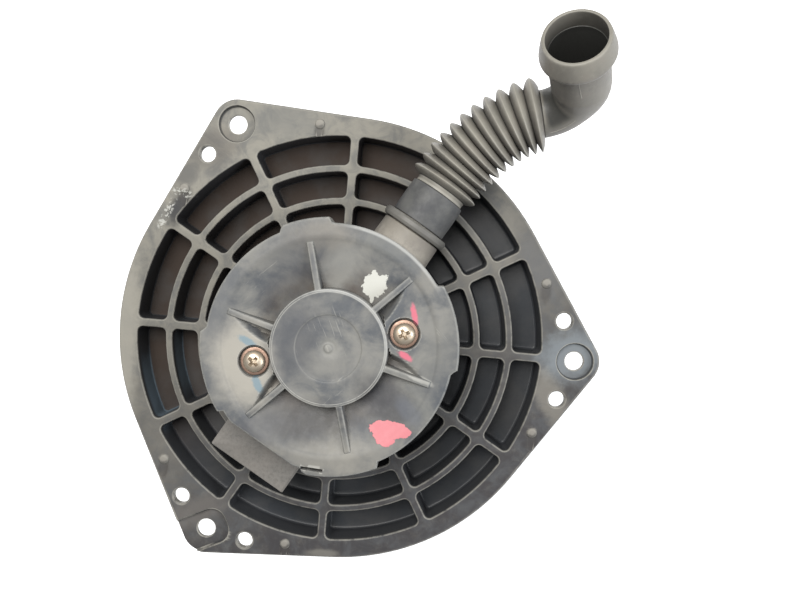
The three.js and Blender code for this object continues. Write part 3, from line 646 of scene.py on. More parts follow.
def pocket_loop(turn, r_in, r_out, inset, z):
    """A ring sector between two ribs of constant width, with rounded corners, drawn in by the inset."""
    span = 360 / RIBS
    reach = RIB / 2 + CORNER
    far, near = r_out - CORNER, r_in + CORNER
    alpha = math.degrees(math.asin(reach / far))
    beta = math.degrees(math.asin(reach / near))
    corner = CORNER - inset
    points = arc(polar(far, alpha), corner, -90, alpha, 5)
    points += arc(Vector(), r_out - inset, alpha, span - alpha, 9)[1:-1]
    points += arc(polar(far, span - alpha), corner, span - alpha, span + 90, 5)
    points += arc(polar(near, span - beta), corner, span + 90, span - beta + 180, 5)
    points += arc(Vector(), r_in + inset, span - beta, beta, 6)[1:-1]
    points += arc(polar(near, beta), corner, beta + 180, 270, 5)
    spin = Matrix.Rotation(rad(turn), 3, "Z")
    return lift([spin @ p for p in points], z)


def quarter(steps=3):
    """Sine and cosine at equal steps of a quarter turn."""
    angles = [math.pi / 2 * i / steps for i in range(steps + 1)]
    return [(math.sin(angle), math.cos(angle)) for angle in angles]


def round_over(top, radius):
    """(height, inset) pairs of an edge that rolls from a flat top into a wall."""
    return [(top - radius * (1 - across), radius * (down - 1)) for down, across in quarter()]


def fillet_down(floor, radius, start):
    """(height, inset) pairs of a wall that rolls into a floor."""
    return [(floor + radius * (1 - down), start + radius * (1 - across)) for down, across in quarter()]


def circles(centre, pairs, sides=40):
    """Loops of circles about a vertical line, from (radius, height) pairs."""
    return [lift(arc(centre, radius, 0, 360 - 360 / sides, sides - 1), z) for radius, z in pairs]


def add_pip(build, turn):
    """A low round pip on the rim."""
    rows = [(2.0, -0.3), (1.9, 0.1), (1.7, 0.35), (1.3, 0.55), (0.7, 0.65)]
    build.solid(circles(polar(PIP_AT, turn), [(radius, TOP + rise) for radius, rise in rows], 24))


def pip_trail(turn):
    """Cutter for the shallow trail that tapers away from a pip."""
    at = polar(PIP_AT, turn)
    loops = []
    for z, grow in ((TOP + 1, 1.4), (TOP - 0.02, 0.35), (TOP - 0.28, -0.25)):
        wide, narrow, end = 1.7 + grow, 0.9 + grow, -6.6 - grow
        outline = [(-wide, 0), (wide, 0), (narrow, end), (-narrow, end)]
        loops.append([Vector((at.x + x, at.y + y, z)) for x, y in outline])
    return Build().solid(loops).make("pip trail")


def open_recess():
    """Cutter for the lower ear's recess, which runs out through the flange's straight edge."""
    centre = polar(EAR_AT, LOWER_EAR)
    spin = Matrix.Rotation(rad(LOWER_EAR - TANGENT), 3, "Z")
    loops = []
    for z, grow in ((TOP + 1, 0.9), (TOP, 0.5), (TOP - 0.4, 0.12), (TOP - 1.6, 0), (TOP - 2, -0.4)):
        half, end = 6.9 + grow, 8.8 + grow
        outline = softened([(16, -half, 0), (16, half, 0), (-end, half, 5.4), (-end, -half, 5.4)], 7)
        loops.append(lift([centre + spin @ Vector((p.x, p.y, 0)) for p in outline], z))
    return Build().solid(loops).make("open recess")


def oblong(turn, near, far, half, z, centre=Vector()):
    """The corners of a level rectangle that lies along a direction from a centre."""
    spin = Matrix.Rotation(rad(turn), 3, "Z")
    corners = (near, -half), (far, -half), (far, half), (near, half)
    return [centre + spin @ Vector((x, y, z)) for x, y in corners]


def radial_box(turn, near, far, half, low, high):
    """Cutter: a plain box that lies along a radius."""
    return Build().solid([oblong(turn, near, far, half, z) for z in (low, high)]).make("radial box")


def flange():
    """The mounting flange: its plate, the ribbed pockets, the holes, and the well round the motor."""
    build = Build()
    edge = [(TOP, 1.1), (TOP - 0.12, 0.62), (TOP - 0.4, 0.28), (TOP - 0.95, 0.03),
            (PLATE_FOOT + 0.5, 0.03), (PLATE_FOOT, 0.5)]
    top, foot = build.levels([hull(inset, z) for z, inset in edge])
    top_holes, foot_holes = [], []

    wall_pairs = round_over(TOP, 0.75) + fillet_down(FLOOR, 1.0, 0.3)
    bands = ((POCKET_IN, RINGS[0] - RING_RIB / 2), (RINGS[0] + RING_RIB / 2, RINGS[1] - RING_RIB / 2),
             (RINGS[1] + RING_RIB / 2, POCKET_OUT))
    for r_in, r_out in bands:
        for i in range(RIBS):
            turn = i * 360 / RIBS
            first, last = build.levels([pocket_loop(turn, r_in, r_out, inset, z)
                                        for z, inset in wall_pairs])
            top_holes.append(first)
            build.fill(last)

    for turn in EARS:
        centre = polar(EAR_AT, turn)
        sink = [(7.6, TOP), (7.2, TOP - 0.15), (RECESS, TOP - 0.5), (RECESS, TOP - 1.6), (6.6, TOP - 2)]
        bore = [(EAR_HOLE + 0.35, TOP - 2), (EAR_HOLE, TOP - 2.3), (EAR_HOLE, 0.3), (EAR_HOLE + 0.25, 0),
                (PAD - 0.3, 0), (PAD, 0.3), (PAD, PLATE_FOOT)]
        if turn == LOWER_EAR:
            sink = [(EAR_HOLE + 0.35, TOP)]
        first, last = build.levels(circles(centre, sink + bore))
        top_holes.append(first)
        foot_holes.append(last)
        for way in (1, -1):
            if turn == UPPER_EAR and way == -1:
                continue
            centre = polar(SIDE_HOLE_AT, turn + way * SIDE_HOLE_TURN)
            drill = [(SIDE_HOLE + 0.75, TOP), (SIDE_HOLE + 0.3, TOP - 0.22), (SIDE_HOLE, TOP - 0.6),
                     (SIDE_HOLE, PLATE_FOOT + 0.2), (SIDE_HOLE + 0.2, PLATE_FOOT)]
            first, last = build.levels(circles(centre, drill, 32))
            top_holes.append(first)
            foot_holes.append(last)

    well = [(42.35, TOP), (41.9, TOP + 0.12), (41.6, TOP + 0.5), (WELL_WALL, TOP + 1),
            (WELL_WALL, WELL_TOP - 0.5), (WELL_WALL - 0.5, WELL_TOP), (WELL + 0.5, WELL_TOP),
            (WELL, WELL_TOP - 0.5), (WELL, FLOOR), (WELL_FLOOR + 0.4, FLOOR), (WELL_FLOOR, FLOOR - 0.4),
            (WELL_FLOOR, UNDERSIDE + 0.4), (WELL_FLOOR + 0.4, UNDERSIDE)]
    for near, far in ((50, 53), (66, 68)):
        well += [(near, UNDERSIDE), (near + 0.6, UNDERSIDE + 0.5), (far, UNDERSIDE + 0.5),
                 (far + 0.6, UNDERSIDE)]
    well += [(DISH_WALL - 2, UNDERSIDE), (DISH_WALL - 0.9, UNDERSIDE + 0.3),
             (DISH_WALL - 0.25, UNDERSIDE + 1), (DISH_WALL, UNDERSIDE + 2), (DISH_WALL, PLATE_FOOT - 0.4),
             (DISH_WALL + 0.3, PLATE_FOOT)]
    first, last = build.levels(circles(Vector(), well, 120))
    build.fill(top, *top_holes, first)
    build.fill(foot, *foot_holes, last)
    piece = build.make("flange_moulding")
    window = radial_box(PLUG_TURN, 30, 46, PLUG_HALF + 0.3, PLUG_FOOT - 0.3, PLUG_TOP + 0.3)
    bore = turned("air bore", [(0, 30), (SPOUT_BORE, 30), (SPOUT_BORE, 48), (0, 48)], 32, ON_SPOUT)
    carve(piece, window, bore, open_recess(), *[pip_trail(turn) for turn in PIPS])
    pips = Build()
    for turn in PIPS:
        add_pip(pips, turn)
    return join(piece, pips.make("pips"))


def join(piece, *others):
    """Adds other meshes to a piece."""
    shell = bmesh.new()
    for each in (piece, *others):
        shell.from_mesh(each.data)
    shell.to_mesh(piece.data)
    shell.free()
    for other in others:
        bpy.data.objects.remove(other)
    return piece


def cooling_spout():
    """The flange's air spout: a stout root, then a pipe that the cuff is pushed on."""
    return turned_on_spout("cooling_spout", (SPOUT_BASE, 40.5, 0), (SPOUT_BASE - 0.25, 50.5, 0.7),
                           (SPOUT_PIPE, 50.5, 0.2), (SPOUT_PIPE, 62, 0.5), (SPOUT_BORE, 62, 0.5),
                           (SPOUT_BORE, 40.5, 0))


# ---- cap
def cap_edge(turn):
    """Radius of the cap's outer edge: round, with lobes, and straight beside the connector."""
    radius = CAP_RIM
    for start, end in LOBES:
        at = (turn - start) % 360
        width = end - start
        if at < width:
            step = min(at, width - at)
            radius = CAP_RIM + (CAP_LOBE - CAP_RIM) * smooth(0, 1.4, step)
    aside = math.remainder(turn - PLUG_TURN, 360)
    if abs(aside) < 24:
        radius = min(radius, CAP_BESIDE_PLUG / math.cos(rad(aside)))
    return radius


def cap_height(at):
    """Height of the cap's top under a point, out to its rim."""
    far = math.hypot(at.x, at.y)
    turn = math.degrees(math.atan2(at.y, at.x))
    if far < BOSS:
        step = 0.35 * smooth(11.5, 12.1, far)
        nub = 0.55 * (1 - smooth(0.9, 2.0, far)) - 0.3 * (1 - smooth(2.0, 3.4, far))
        return BOSS_TOP - 0.45 + step + nub + 0.1 * smooth(18.6, 19.8, far)
    ground = VALLEY + (CAP_TOP - 0.4 - VALLEY) * min((far - BOSS) / (SHOULDER - BOSS), 1)
    ground += 0.4 * smooth(SHOULDER - 1.0, SHOULDER + 1.6, far)
    for screw in SCREWS:
        aside = rad(turn - screw)
        x, y = far * math.cos(aside), far * math.sin(aside)
        if x > BOSS:
            out = x - BOSS
            inside = 6 + 0.65 * out + 0.045 * out * out - abs(y)
            ground += max(PAD_TOP - ground, 0) * smooth(-2.4, 1.0, inside)
    return ground


def gusset_height(far, aside):
    """Height of a gusset's surface at a distance from the axis and from its own middle line."""
    crest = 35.2 - 1.25 * (far - BOSS) / (SHOULDER - BOSS)
    crest -= 1.2 * smooth(SHOULDER - 1.2, SHOULDER + 0.6, far)
    return crest - 0.25 * smooth(0.7, 1.2, abs(aside)) - 9 * smooth(1.16, 1.5, abs(aside))


def cap():
    """The cap, as rings about the axis whose points crowd together along the gussets."""
    # sideways offsets that follow each gusset's flanks, and how many points fill the span between two
    beside, between = (0.0, 0.7, 1.0, 1.2, 1.34, 1.5, 1.75, 2.4, 3.4), 36
    step = 0.45
    inner = [0.7, 1.2, 1.6, 2.1, 2.7, 3.4, 5, 7, 9, 10.6, 11.4, 11.7, 11.9, 12.2, 13, 15, 17, 18.5, 19,
             19.5, 20]
    rim = [(BOSS - 0.75, BOSS_TOP - 0.08), (BOSS - 0.35, BOSS_TOP), (BOSS - 0.1, BOSS_TOP - 0.1),
           (BOSS + 0.05, BOSS_TOP - 0.4)]
    outer = [BOSS + 0.35, BOSS + 0.6]
    outer += [BOSS + 1.0 + step * i for i in range(int((SHOULDER + 1 - BOSS) / step) + 1)]
    turns = []
    for gusset in GUSSETS:
        turns += [(gusset, offset, 0) for offset in beside]
        turns += [(gusset, None, (i + 1) / (between + 1)) for i in range(between)]
        turns += [(gusset + 60, -offset, 0) for offset in reversed(beside[1:])]

    def turn_at(far, entry):
        gusset, offset, share = entry
        hold = max(far, BOSS)
        if offset is not None:
            return gusset + math.degrees(math.asin(offset / hold))
        margin = math.degrees(math.asin(beside[-1] / hold))
        return gusset + margin + (60 - 2 * margin) * share

    def surface(far, entry):
        at = polar(far, turn_at(far, entry))
        at.z = cap_height(at)
        if entry[1] is not None and BOSS <= far < SHOULDER + 1.2:
            at.z = max(at.z, gusset_height(far, entry[1]))
        return at

    loops = [[Vector((0, 0, cap_height(Vector())))]]
    loops += [[surface(far, entry) for entry in turns] for far in inner]
    loops += [[polar(far, turn_at(far, entry), z) for entry in turns] for far, z in rim]
    loops += [[surface(far, entry) for entry in turns] for far in outer]

    start = outer[-1]
    turns = [turn_at(start, entry) for entry in turns]
    for share in (0.3, 0.6, 0.85):
        reach = [max(cap_edge(turn) - 1.0, start + 0.4) - start for turn in turns]
        loops.append([polar(start + far * share, turn, CAP_TOP) for far, turn in zip(reach, turns)])
    for inset, z in ((0.95, CAP_TOP), (0.5, CAP_TOP - 0.1), (0.18, CAP_TOP - 0.4), (0, CAP_TOP - 0.95),
                     (0, CAP_SKIRT + 0.4), (0.3, CAP_SKIRT)):
        loops.append([polar(cap_edge(turn) - inset, turn, z) for turn in turns])
    for radius, z in ((CAP_INSIDE, CAP_SKIRT), (CAP_INSIDE, 31.0), (38, 30.7), (22, 26.6), (18.6, 26.6),
                      (18.2, 33)):
        loops.append([polar(min(radius, cap_edge(turn) - 1.2), turn, z) for turn in turns])
    loops.append([Vector((0, 0, 33))])
    build = Build()
    build.levels(loops)
    piece = build.make("cap_moulding")
    seat = [(0, 20), (3, 20), (3, 31), (5.35, 31), (5.6, 31.3), (5.6, 32.9), (5.95, 33.4), (5.95, 40),
            (0, 40)]
    cutters = [turned("screw seat", seat, 48, about(polar(SCREW_AT, screw))) for screw in SCREWS]
    cutters.append(radial_box(SLIT_TURN, 43.0, 44.2, 4.0, 22, 40))
    room = [(0, 40), (SPOUT_BASE + 0.35, 40), (SPOUT_BASE + 0.35, 60), (0, 60)]
    cutters.append(turned("spout room", room, 56, ON_SPOUT))
    carve(piece, *cutters)
    return piece


def cap_screw(name, centre, cross_turn):
    """A pan-head screw with a cross recess."""
    profile = [(0, 34.9), (1.4, 34.88), (2.5, 34.68), (3.3, 34.25), (3.8, 33.6), (3.95, 33.1),
               (3.95, 32.8), (3.75, 32.6), (2.5, 32.6), (2.5, 17.2), (1.8, 16.5), (0, 16.5)]
    piece = turned(name, profile, 40, about(centre))
    for turn in (cross_turn, cross_turn + 90):
        slot = [oblong(turn, -long, long, wide, z, centre)
                for z, long, wide in ((36, 2.5, 0.75), (34.9, 2.15, 0.62), (33.0, 0.8, 0.3))]
        carve(piece, Build().solid(slot).make("cross"))
    return piece


def cap_washer(name, centre):
    profile = softened([(2.8, 31.3, 0), (5.1, 31.3, 0.2), (5.1, 32.3, 0.35), (4.2, 32.45, 0),
                        (2.8, 32.45, 0)], 3)
    return turned(name, profile, 40, about(centre))


# ---- hose
ROUTE_START, STRAIGHT, BENT, BEND, CURL, RISE, SWELL, FOLDS = 67.3, 3.7, 43.0, 31.5, 15.0, 7.5, 2.23, 11
HOSE_LENGTH, PLAIN, HALF_FOLDS = STRAIGHT + BENT, 2, 5
PITCH = (HOSE_LENGTH - PLAIN) / FOLDS
PEAK, ROOT, BORE = 13.2, 9.6, 8.3
LEG, RISER, TURN_RADIUS, LEG_TUBE, LEG_BORE, TUBE, TUBE_BORE = 14.65, 36.8, 13.6, 8.4, 6.8, 10.2, 8.4
MOUTH_WAY = Vector((-0.273, 0.394, 0.878)).normalized()


def bellows_point(s):
    """A point of the bellows' middle line: it turns right, more and more tightly, and lifts."""
    at = polar(ROUTE_START + STRAIGHT, SPOUT_TURN, SPOUT_Z)
    share = max(s - STRAIGHT, 0) / BENT
    if share == 0:
        return at + polar(1, SPOUT_TURN) * (s - STRAIGHT)
    steps = 24
    for i in range(steps):
        part = share * (i + 0.5) / steps
        at += polar(BENT * share / steps, SPOUT_TURN - BEND * part - CURL * part ** 3)
    at.z = SPOUT_Z + RISE * (SWELL * share ** 2 + (1 - SWELL) * share ** 3)
    return at


def bellows_frame(s):
    along = (bellows_point(min(s + 0.05, HOSE_LENGTH)) - bellows_point(s - 0.05)).normalized()
    side = Vector((0, 0, 1)).cross(along).normalized()
    return bellows_point(s), side, along.cross(side)


def paint(piece, name, values):
    """Writes a value for each vertex, with 0 for the vertices past the end of the list."""
    layer = piece.data.attributes.new(name, "FLOAT", "POINT")
    layer.data.foreach_set("value", values + [0.0] * (len(piece.data.vertices) - len(values)))


def bellows(name, first, count):
    """A stretch of bellows with a whole number of folds, as a tube with a wall."""
    gap = 0.02
    start = PLAIN + first * PITCH
    begin = gap if first == 0 else start + gap
    end = HOSE_LENGTH - gap if first + count == FOLDS else start + count * PITCH - gap
    profile = []
    if first == 0:
        profile += [(ROOT, begin), (ROOT, 1.2), (ROOT + 0.15, 1.7)]
    steps = 14
    for i in range(count):
        for k in range(steps + (i == count - 1)):
            share = k / steps
            crest = 1 - abs(2 * share - 1) ** 1.7
            along = min(max(start + (i + share) * PITCH, begin), end)
            profile.append((ROOT + 0.1 + (PEAK - ROOT - 0.1) * crest, along))
    # painted shade, with some grime: darker in the fold valleys and all along the bore
    dirt_and_shade = [0.8 - 2.3 * (radius - ROOT) / (PEAK - ROOT) for radius, along in profile]
    if first == 0:
        dirt_and_shade[0] = dirt_and_shade[1] = dirt_and_shade[2] = 0.12
    inner = 12
    profile += [(BORE, end + (begin - end) * i / inner) for i in range(inner + 1)]
    dirt_and_shade += [1.0] * (inner + 1)
    sides = 64
    piece = turned(name, profile, sides, bellows_frame)
    paint(piece, "dirt_and_shade", [max(value, 0.0) for value in dirt_and_shade for _ in range(sides)])
    return piece


def elbow_route():
    """The elbow's middle line: on from the bellows, a round turn, and the riser to the mouth."""
    start = bellows_point(HOSE_LENGTH)
    leg_way = (start - bellows_point(HOSE_LENGTH - 0.05)).normalized()
    turn = leg_way.angle(MOUTH_WAY)
    across = leg_way.cross(MOUTH_WAY).normalized()
    corner = TURN_RADIUS * math.tan(turn / 2)
    before = LEG - corner
    turning = TURN_RADIUS * turn
    hub = start + leg_way * before + across.cross(leg_way) * TURN_RADIUS

    def frame_at(s):
        angle = min(max((s - before) / TURN_RADIUS, 0), turn)
        along = Matrix.Rotation(angle, 3, across) @ leg_way
        outward = along.cross(across)
        if s <= before:
            return start + leg_way * s, across, outward
        at = hub + outward * TURN_RADIUS + along * max(s - before - turning, 0)
        return at, across, outward

    return frame_at, before, turning, before + turning + RISER - corner


def hose_elbow():
    """The elbow with its collared mouth, wider from the turn onwards, and a seam on each flank."""
    frame_at, before, turning, end = elbow_route()
    steps, sides = 14, 72

    def widened(narrow, wide):
        shares = [i / steps for i in range(steps + 1)]
        return [(narrow + (wide - narrow) * smooth(0.45, 1.05, share), before + turning * share)
                for share in shares]

    outside = [(LEG_TUBE - 0.3, 0.02), (LEG_TUBE, 0.25)] + widened(LEG_TUBE, TUBE)
    collar = [(TUBE, 9.6), (TUBE + 0.25, 9.3), (11.5, 8.5), (12.2, 7.9), (12.5, 7.2), (12.5, 6.5),
              (12.3, 5.4), (11.8, 3.2), (11.35, 1.4), (11.15, 0.8), (11.0, 0.35), (10.75, 0.08), (10.5, 0)]
    mouth = [(10.1, 0), (9.9, 0.1), (9.75, 0.5), (9.75, 6.2), (9.68, 6.5), (9.5, 6.62), (9.42, 6.9),
             (9.35, 9), (TUBE_BORE, 14)]
    outside += [(radius, end - down) for radius, down in collar]
    inside = [(radius, end - down) for radius, down in mouth]
    inside += widened(LEG_BORE, TUBE_BORE)[::-1] + [(LEG_BORE, 0.02)]
    build = Build().revolve(outside + inside, sides, frame_at)
    # painted shade: darker under the leg towards the inner corner of the turn, and deeper inside the mouth
    dirt_and_shade = []
    for radius, s in outside:
        reach = smooth(0, 3, s) * (1 - smooth(before + turning * 0.5, before + turning * 0.66, s))
        for i in range(sides):
            dirt_and_shade.append(0.7 * reach * smooth(-0.1, 0.5, -math.sin(math.tau * i / sides)))
    for radius, s in inside:
        dirt_and_shade += [0.15 + 0.85 * smooth(end - 5.6, end - 7.2, s)] * sides
    seams = Build()
    for way in (1, -1):
        seam(seams, frame_at, 1.0, end - 9, way)
    piece = join(build.make("hose_elbow_moulding"), seams.make("seams"))
    paint(piece, "dirt_and_shade", dirt_and_shade)
    return piece


def seam(build, frame_at, start, end, way):
    """A fine raised parting line along one flank of the elbow."""
    steps = 40
    loops = []
    for i in range(steps + 1):
        s = start + (end - start) * i / steps
        at, side, up = frame_at(s)
        height = 0.16 * smooth(0, 0.06, i / steps) * smooth(1, 0.94, i / steps)
        spin = rad(90 - way * (90 + 8 * smooth(0.3, 1, i / steps)))
        radius = LEG_TUBE + (TUBE - LEG_TUBE) * smooth(0.45, 0.8, i / steps) - 0.1
        base = at + (side * math.cos(spin) + up * math.sin(spin)) * radius
        outline = [(-0.22, -0.3), (0.22, -0.3), (0.12, 0.05 + height), (-0.12, 0.05 + height)]
        loops.append([base + up * x + side * (y * way) for x, y in outline])
    build.solid(loops)


def seal_ring():
    return turned_on_spout("spout_seal_moulding", (9.9, 50.8, 0), (12.4, 50.8, 0.5), (12.9, 51.9, 0.6),
                           (12.9, 53.2, 0.6), (12.3, 53.9, 0.3), (9.9, 53.9, 0))


def hose_cuff():
    return turned_on_spout("cuff_moulding", (9.9, 54.2, 0), (10.5, 54.2, 0.4), (10.6, 61, 0),
                           (10.45, 66.9, 0.3), (9.65, 67.25, 0.1), (8.5, 67.25, 0.2), (8.5, 62.3, 0),
                           (9.9, 62.3, 0))


# ---- connector
def connector():
    """A flat two-way connector block, open at its outer end."""
    chamfer = 0.5
    spin = Matrix.Rotation(rad(PLUG_TURN), 3, "Z")
    middle, half_x = (PLUG_IN + PLUG_OUT) / 2, (PLUG_OUT - PLUG_IN) / 2
    loops = []
    for z, inset in ((PLUG_FOOT, chamfer), (PLUG_FOOT + chamfer, 0), (PLUG_TOP - chamfer, 0),
                     (PLUG_TOP, chamfer)):
        x, y = half_x - inset, PLUG_HALF - inset
        outline = softened([(-x, -y, chamfer), (x, -y, chamfer), (x, y, chamfer), (-x, y, chamfer)], 2)
        loops.append([spin @ Vector((middle + p.x, p.y, z)) for p in outline])
    piece = Build().solid(loops).make("connector_moulding")
    cutters = [radial_box(PLUG_TURN, 45.5, PLUG_OUT + 1, PLUG_HALF - PLUG_WALL, PLUG_FOOT + PLUG_WALL,
                          PLUG_TOP - PLUG_WALL)]
    for aside in (-8, 8):
        slot = radial_box(PLUG_TURN, PLUG_IN - 1, 46, 0.75, 8.5, 15.5)
        slot.data.transform(Matrix.Translation(polar(aside * MM, PLUG_TURN + 90)))
        cutters.append(slot)
    carve(piece, *cutters)
    return piece


# ---- fan wheel and its fixing
def fan_wheel():
    build = Build()
    dome = softened([(75, -14, 0.4), (60, -14, 2), (54, -18, 6), (46.5, -36, 20), (39.6, -58, 5),
                     (31, -63.4, 3), (12, -63.6, 0.4), (8.3, -63.6, 0), (8.3, -76, 0), (12, -76, 0.5),
                     (12.4, -65.9, 0.8), (32, -65.6, 4), (41.4, -59.6, 6), (48.4, -36.6, 20),
                     (55.6, -19.2, 5), (60, -16, 2), (75, -16, 0.4)], 4)
    ring = softened([(71, -84, 0.6), (76, -84, 1.2), (76, -80.5, 0.6), (71, -80.5, 1.2)], 3)
    for profile in (dome, ring):
        build.revolve(profile, 96, about(Vector()))
    blades, rows = 36, 9
    for i in range(blades):
        turn = 360 * i / blades
        inner, outer = [], []
        for k in range(rows + 1):
            share = k / rows
            far = 59.2 + 15 * share
            half = math.degrees(0.65 * (1 - 0.35 * share) / far)
            middle = turn + 9 * share * share
            inner.append(polar(far, middle - half))
            outer.append(polar(far, middle + half))
        build.solid([lift(inner + outer[::-1], z) for z in (-83, -15)])
    for i in range(6):
        spin = Matrix.Rotation(rad(60 * i), 3, "Z")
        outline = [(11.5, -65.5), (11.5, -73.5), (14, -72.5), (30, -66.2), (30, -65.2)]
        build.solid([[spin @ Vector((x, y, z)) for x, z in outline] for y in (-0.8, 0.8)])
    return build.make("fan_wheel_moulding")


def fan_nut():
    """A hexagon nut with rounded corners at both faces."""
    sides, corner = 48, 5.8
    loops = []
    for radius, z in ((3.3, -77.7), (5.2, -77.7), (corner, -78.1), (corner, -81.0), (5.2, -81.4),
                      (3.3, -81.4)):
        loop = []
        for i in range(sides):
            turn = 360 * i / sides
            reach = corner * math.cos(rad(30)) / math.cos(rad(abs((turn % 60) - 30)))
            loop.append(polar(min(reach, radius), turn, z))
        loops.append(loop)
    build = Build()
    build.levels(loops, closed=True)
    return build.make("fan_nut_turned")


def brush_spring(name, turn):
    """A coil spring along a radius, with its first and last turns closed up."""
    coils, steps, sides, wire, coil = 4, 24, 10, 0.3, 1.9
    loops = []
    for i in range(coils * steps + 1):
        share = i / (coils * steps)
        spin = math.tau * coils * share
        along = SPRING_FROM + wire + (SPRING_TO - SPRING_FROM - 2 * wire) * smooth(-0.15, 1.15, share)
        outward = polar(1, turn + 90) * math.cos(spin) + Vector((0, 0, 1)) * math.sin(spin)
        centre = polar(along, turn, BRUSH_Z) + outward * coil
        loop = []
        for k in range(sides):
            t = math.tau * k / sides
            loop.append(centre + outward * (wire * math.cos(t)) + polar(wire * math.sin(t), turn))
        loops.append(loop)
    return Build().solid(loops).make(name)


def gasket():
    """A foam strip laid round the dish, a little uneven."""
    build = Build()
    sides = 240
    profile = softened([(81.3, -2.9, 0.5), (84.1, -2.9, 0.8), (84.2, 0.25, 0.3), (81.2, 0.25, 0.2)], 3)
    loops = []
    for p in profile:
        loop = []
        for i in range(sides):
            turn = 360 * i / sides
            ripple = 0.25 * noise.noise(polar(1, turn) * 5 + Vector((0, 0, p.y)))
            inset = 0 if p.x < 82.5 else abs(ripple)
            loop.append(polar(p.x - inset, turn, min(p.y + abs(ripple), 0.25)))
        loops.append(loop)
    build.levels(loops, closed=True)
    return build.make("foam_gasket")


# ---- the object
hose_rubber = hose_look()
zinc = metal_look("yellow zinc", (188, 176, 158), (142, 118, 98), 0.4, metallic=0.8)
steel = metal_look("plated steel", (176, 178, 180), (120, 118, 112), 0.34)

finish_piece(flange(), flange_look(), "root", ["mounting_flange"])
finish_piece(cooling_spout(), rubber_look("pale dusty plastic", (84, 80, 76), (116, 111, 102), 0.62), "root",
             [])
finish_piece(cap(), cap_look(), "root", ["motor_cap"])
copper = metal_look("copper washer", (142, 118, 104), (104, 82, 70), 0.45, metallic=0.8)
for side, turn, cross in (("right", SCREWS[0], 30), ("left", SCREWS[1], 52)):
    at = polar(SCREW_AT, turn)
    finish_piece(cap_screw(f"screw_{side}", at, cross), zinc, "root", [f"cap_screw_{side}"])
    finish_piece(cap_washer(f"washer_{side}", at), copper, "root", [f"cap_washer_{side}"])
finish_piece(connector(), plastic_look("tan connector plastic", (83, 81, 77), (98, 94, 89), 0.55), "root",
             ["connector_housing"])
finish_piece(seal_ring(), rubber_look("seal rubber", (72, 71, 68), (98, 96, 91), 0.55), "root",
             ["spout_seal_ring"])
finish_piece(hose_cuff(), plastic_look("grey cuff plastic", (53, 54, 56), (79, 79, 77), 0.6, 7),
             "hose_base", ["hose_cuff"])
for name, first, count, body, node in (
    ("bellows_first_half", 0, HALF_FOLDS, None, "bellows_inner"),
    ("bellows_middle", HALF_FOLDS, 1, "hose_middle", "bellows_middle_fold"),
    ("bellows_last_half", HALF_FOLDS + 1, HALF_FOLDS, None, "bellows_outer"),
):
    finish_piece(bellows(name, first, count), hose_rubber, body, [node], False)
finish_piece(hose_elbow(), hose_rubber, "hose_end", ["hose_elbow"])
finish_piece(fan_wheel(), plastic_look("black fan plastic", (34, 35, 37), (52, 53, 55), 0.45, 20), "rotor",
             ["fan_wheel"])
finish_piece(fan_nut(), zinc, "rotor", ["fan_nut"])
finish_piece(gasket(), foam_look("gasket foam", (28, 28, 30), (58, 57, 56)), "root",
             ["flange_gasket"], False)

middle_start, middle_end = PLAIN + HALF_FOLDS * PITCH, PLAIN + (HALF_FOLDS + 1) * PITCH
for name, bodies, start, end in (
    ("bellows_first_half", ("hose_base", "hose_middle"), 1.0, middle_start),
    ("bellows_last_half", ("hose_middle", "hose_end"), middle_end, HOSE_LENGTH - 0.5),
):
    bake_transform(bpy.data.objects[name], *bodies, start=bellows_point(start) * MM, end=bellows_point(end) * MM)

for side, turn in (("upper", BRUSH_TURN), ("lower", BRUSH_TURN + 180)):
    spring = brush_spring(f"brush_spring_coil_{side}", turn)
    finish_piece(spring, steel, None, [f"brush_spring_{side}"], False)
    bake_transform(spring)

for material, names in (
    (steel, ("motor_yoke", "end_bracket", "shaft", "rear_bearing_retainer", "front_bearing_retainer",
             "magnet_clip_upper", "magnet_clip_lower")),
    (zinc, ("fan_washer",)),
    (metal_look("brass", (196, 164, 94), (120, 96, 60), 0.32),
     ("brush_holder_upper", "brush_holder_lower", "terminal_a", "terminal_b", "fan_hub_insert")),
    (metal_look("sintered bronze", (168, 122, 74), (104, 78, 52), 0.5), ("rear_bearing", "front_bearing")),
    (metal_look("lamination steel", (120, 122, 126), (70, 66, 62), 0.45), ("armature_core",)),
    (winding_look(), ("armature_winding",)),
    (segment_look(), ("commutator",)),
    (plastic_look("ferrite", (44, 44, 48), (62, 62, 66), 0.7), ("magnet_right", "magnet_left")),
    (plastic_look("carbon", (30, 30, 32), (46, 46, 48), 0.6), ("brush_upper", "brush_lower")),
    (plastic_look("brush card", (104, 70, 42), (126, 88, 56), 0.6),
     ("brush_card", "rear_thrust_washer", "front_thrust_washer")),
    (plastic_look("lead cover", (26, 26, 28), (40, 40, 42), 0.5), ("lead_a", "lead_b")),
    (plastic_look("isolator rubber", (38, 38, 38), (54, 53, 52), 0.75),
     ("isolator_right", "isolator_left")),
):
    for name in names:
        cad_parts[name].data.materials.clear()
        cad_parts[name].data.materials.append(material)


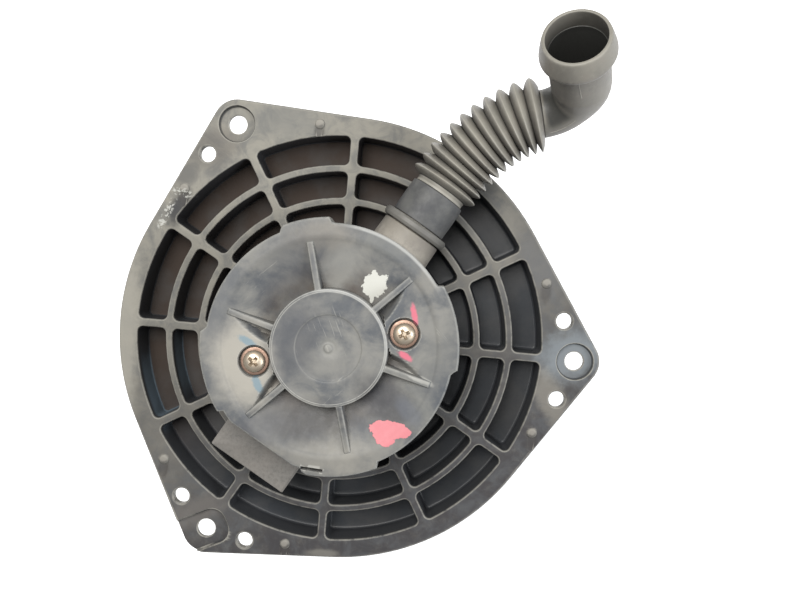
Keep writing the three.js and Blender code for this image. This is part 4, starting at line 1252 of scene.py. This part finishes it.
# ---- floor, light and camera
def studio():
    floor = Build()
    foot = cad_low.z / MM - 0.3
    floor.faces.append(tuple(floor.loop([Vector((x, y, foot)) for x, y in
                                         ((-3000, -3000), (3000, -3000), (3000, 3000), (-3000, 3000))])))
    ground = floor.make("floor")
    look = Look("pale floor", roughness=0.9, specular=0.1)
    look.shader.inputs["Emission Color"].default_value = (1, 1, 1, 1)
    look.shader.inputs["Emission Strength"].default_value = 0.45
    ground.data.materials.append(look.done(look.mix(look.noise(400, 2), shade((246, 246, 246)),
                                                    shade((250, 250, 250)))))

    world = bpy.data.worlds.new("studio")
    world.use_nodes = True
    world.node_tree.nodes["Background"].inputs["Color"].default_value = (0.94, 0.97, 1.0, 1)
    world.node_tree.nodes["Background"].inputs["Strength"].default_value = 0.3
    bpy.context.scene.world = world

    for name, place, size, power, tint in (
        ("key", (-120, 240, 640), 460, 7.2, (1.0, 0.985, 0.96)),
        ("fill", (560, -20, 420), 320, 3.4, (0.95, 0.97, 1.0)),
    ):
        lamp = bpy.data.lights.new(name, "AREA")
        lamp.size = size * MM
        lamp.energy = power
        lamp.color = tint
        holder = bpy.data.objects.new(name, lamp)
        holder.location = Vector(place) * MM
        holder.rotation_euler = (-Vector(place)).to_track_quat("-Z", "Y").to_euler()
        bpy.context.scene.collection.objects.link(holder)


def camera():
    """Nearly straight above the flange, tilted a little about each axis."""
    place, tilts = Vector((31.1, 32.6, 312.9)), ((2.62, "X"), (-1.80, "Y"), (-5.11, "Z"))
    lens = bpy.data.cameras.new("camera")
    lens.lens = lens.sensor_width = 36
    lens.clip_start = 0.01
    turn = Matrix.Identity(3)
    for tilt, axis in tilts:
        turn = turn @ Matrix.Rotation(rad(tilt), 3, axis)
    holder = bpy.data.objects.new("camera", lens)
    holder.matrix_world = Matrix.Translation(place * MM) @ turn.transposed().to_4x4()
    bpy.context.scene.collection.objects.link(holder)
    bpy.context.scene.camera = holder


studio()
camera()
bpy.context.scene.view_settings.view_transform = "Standard"
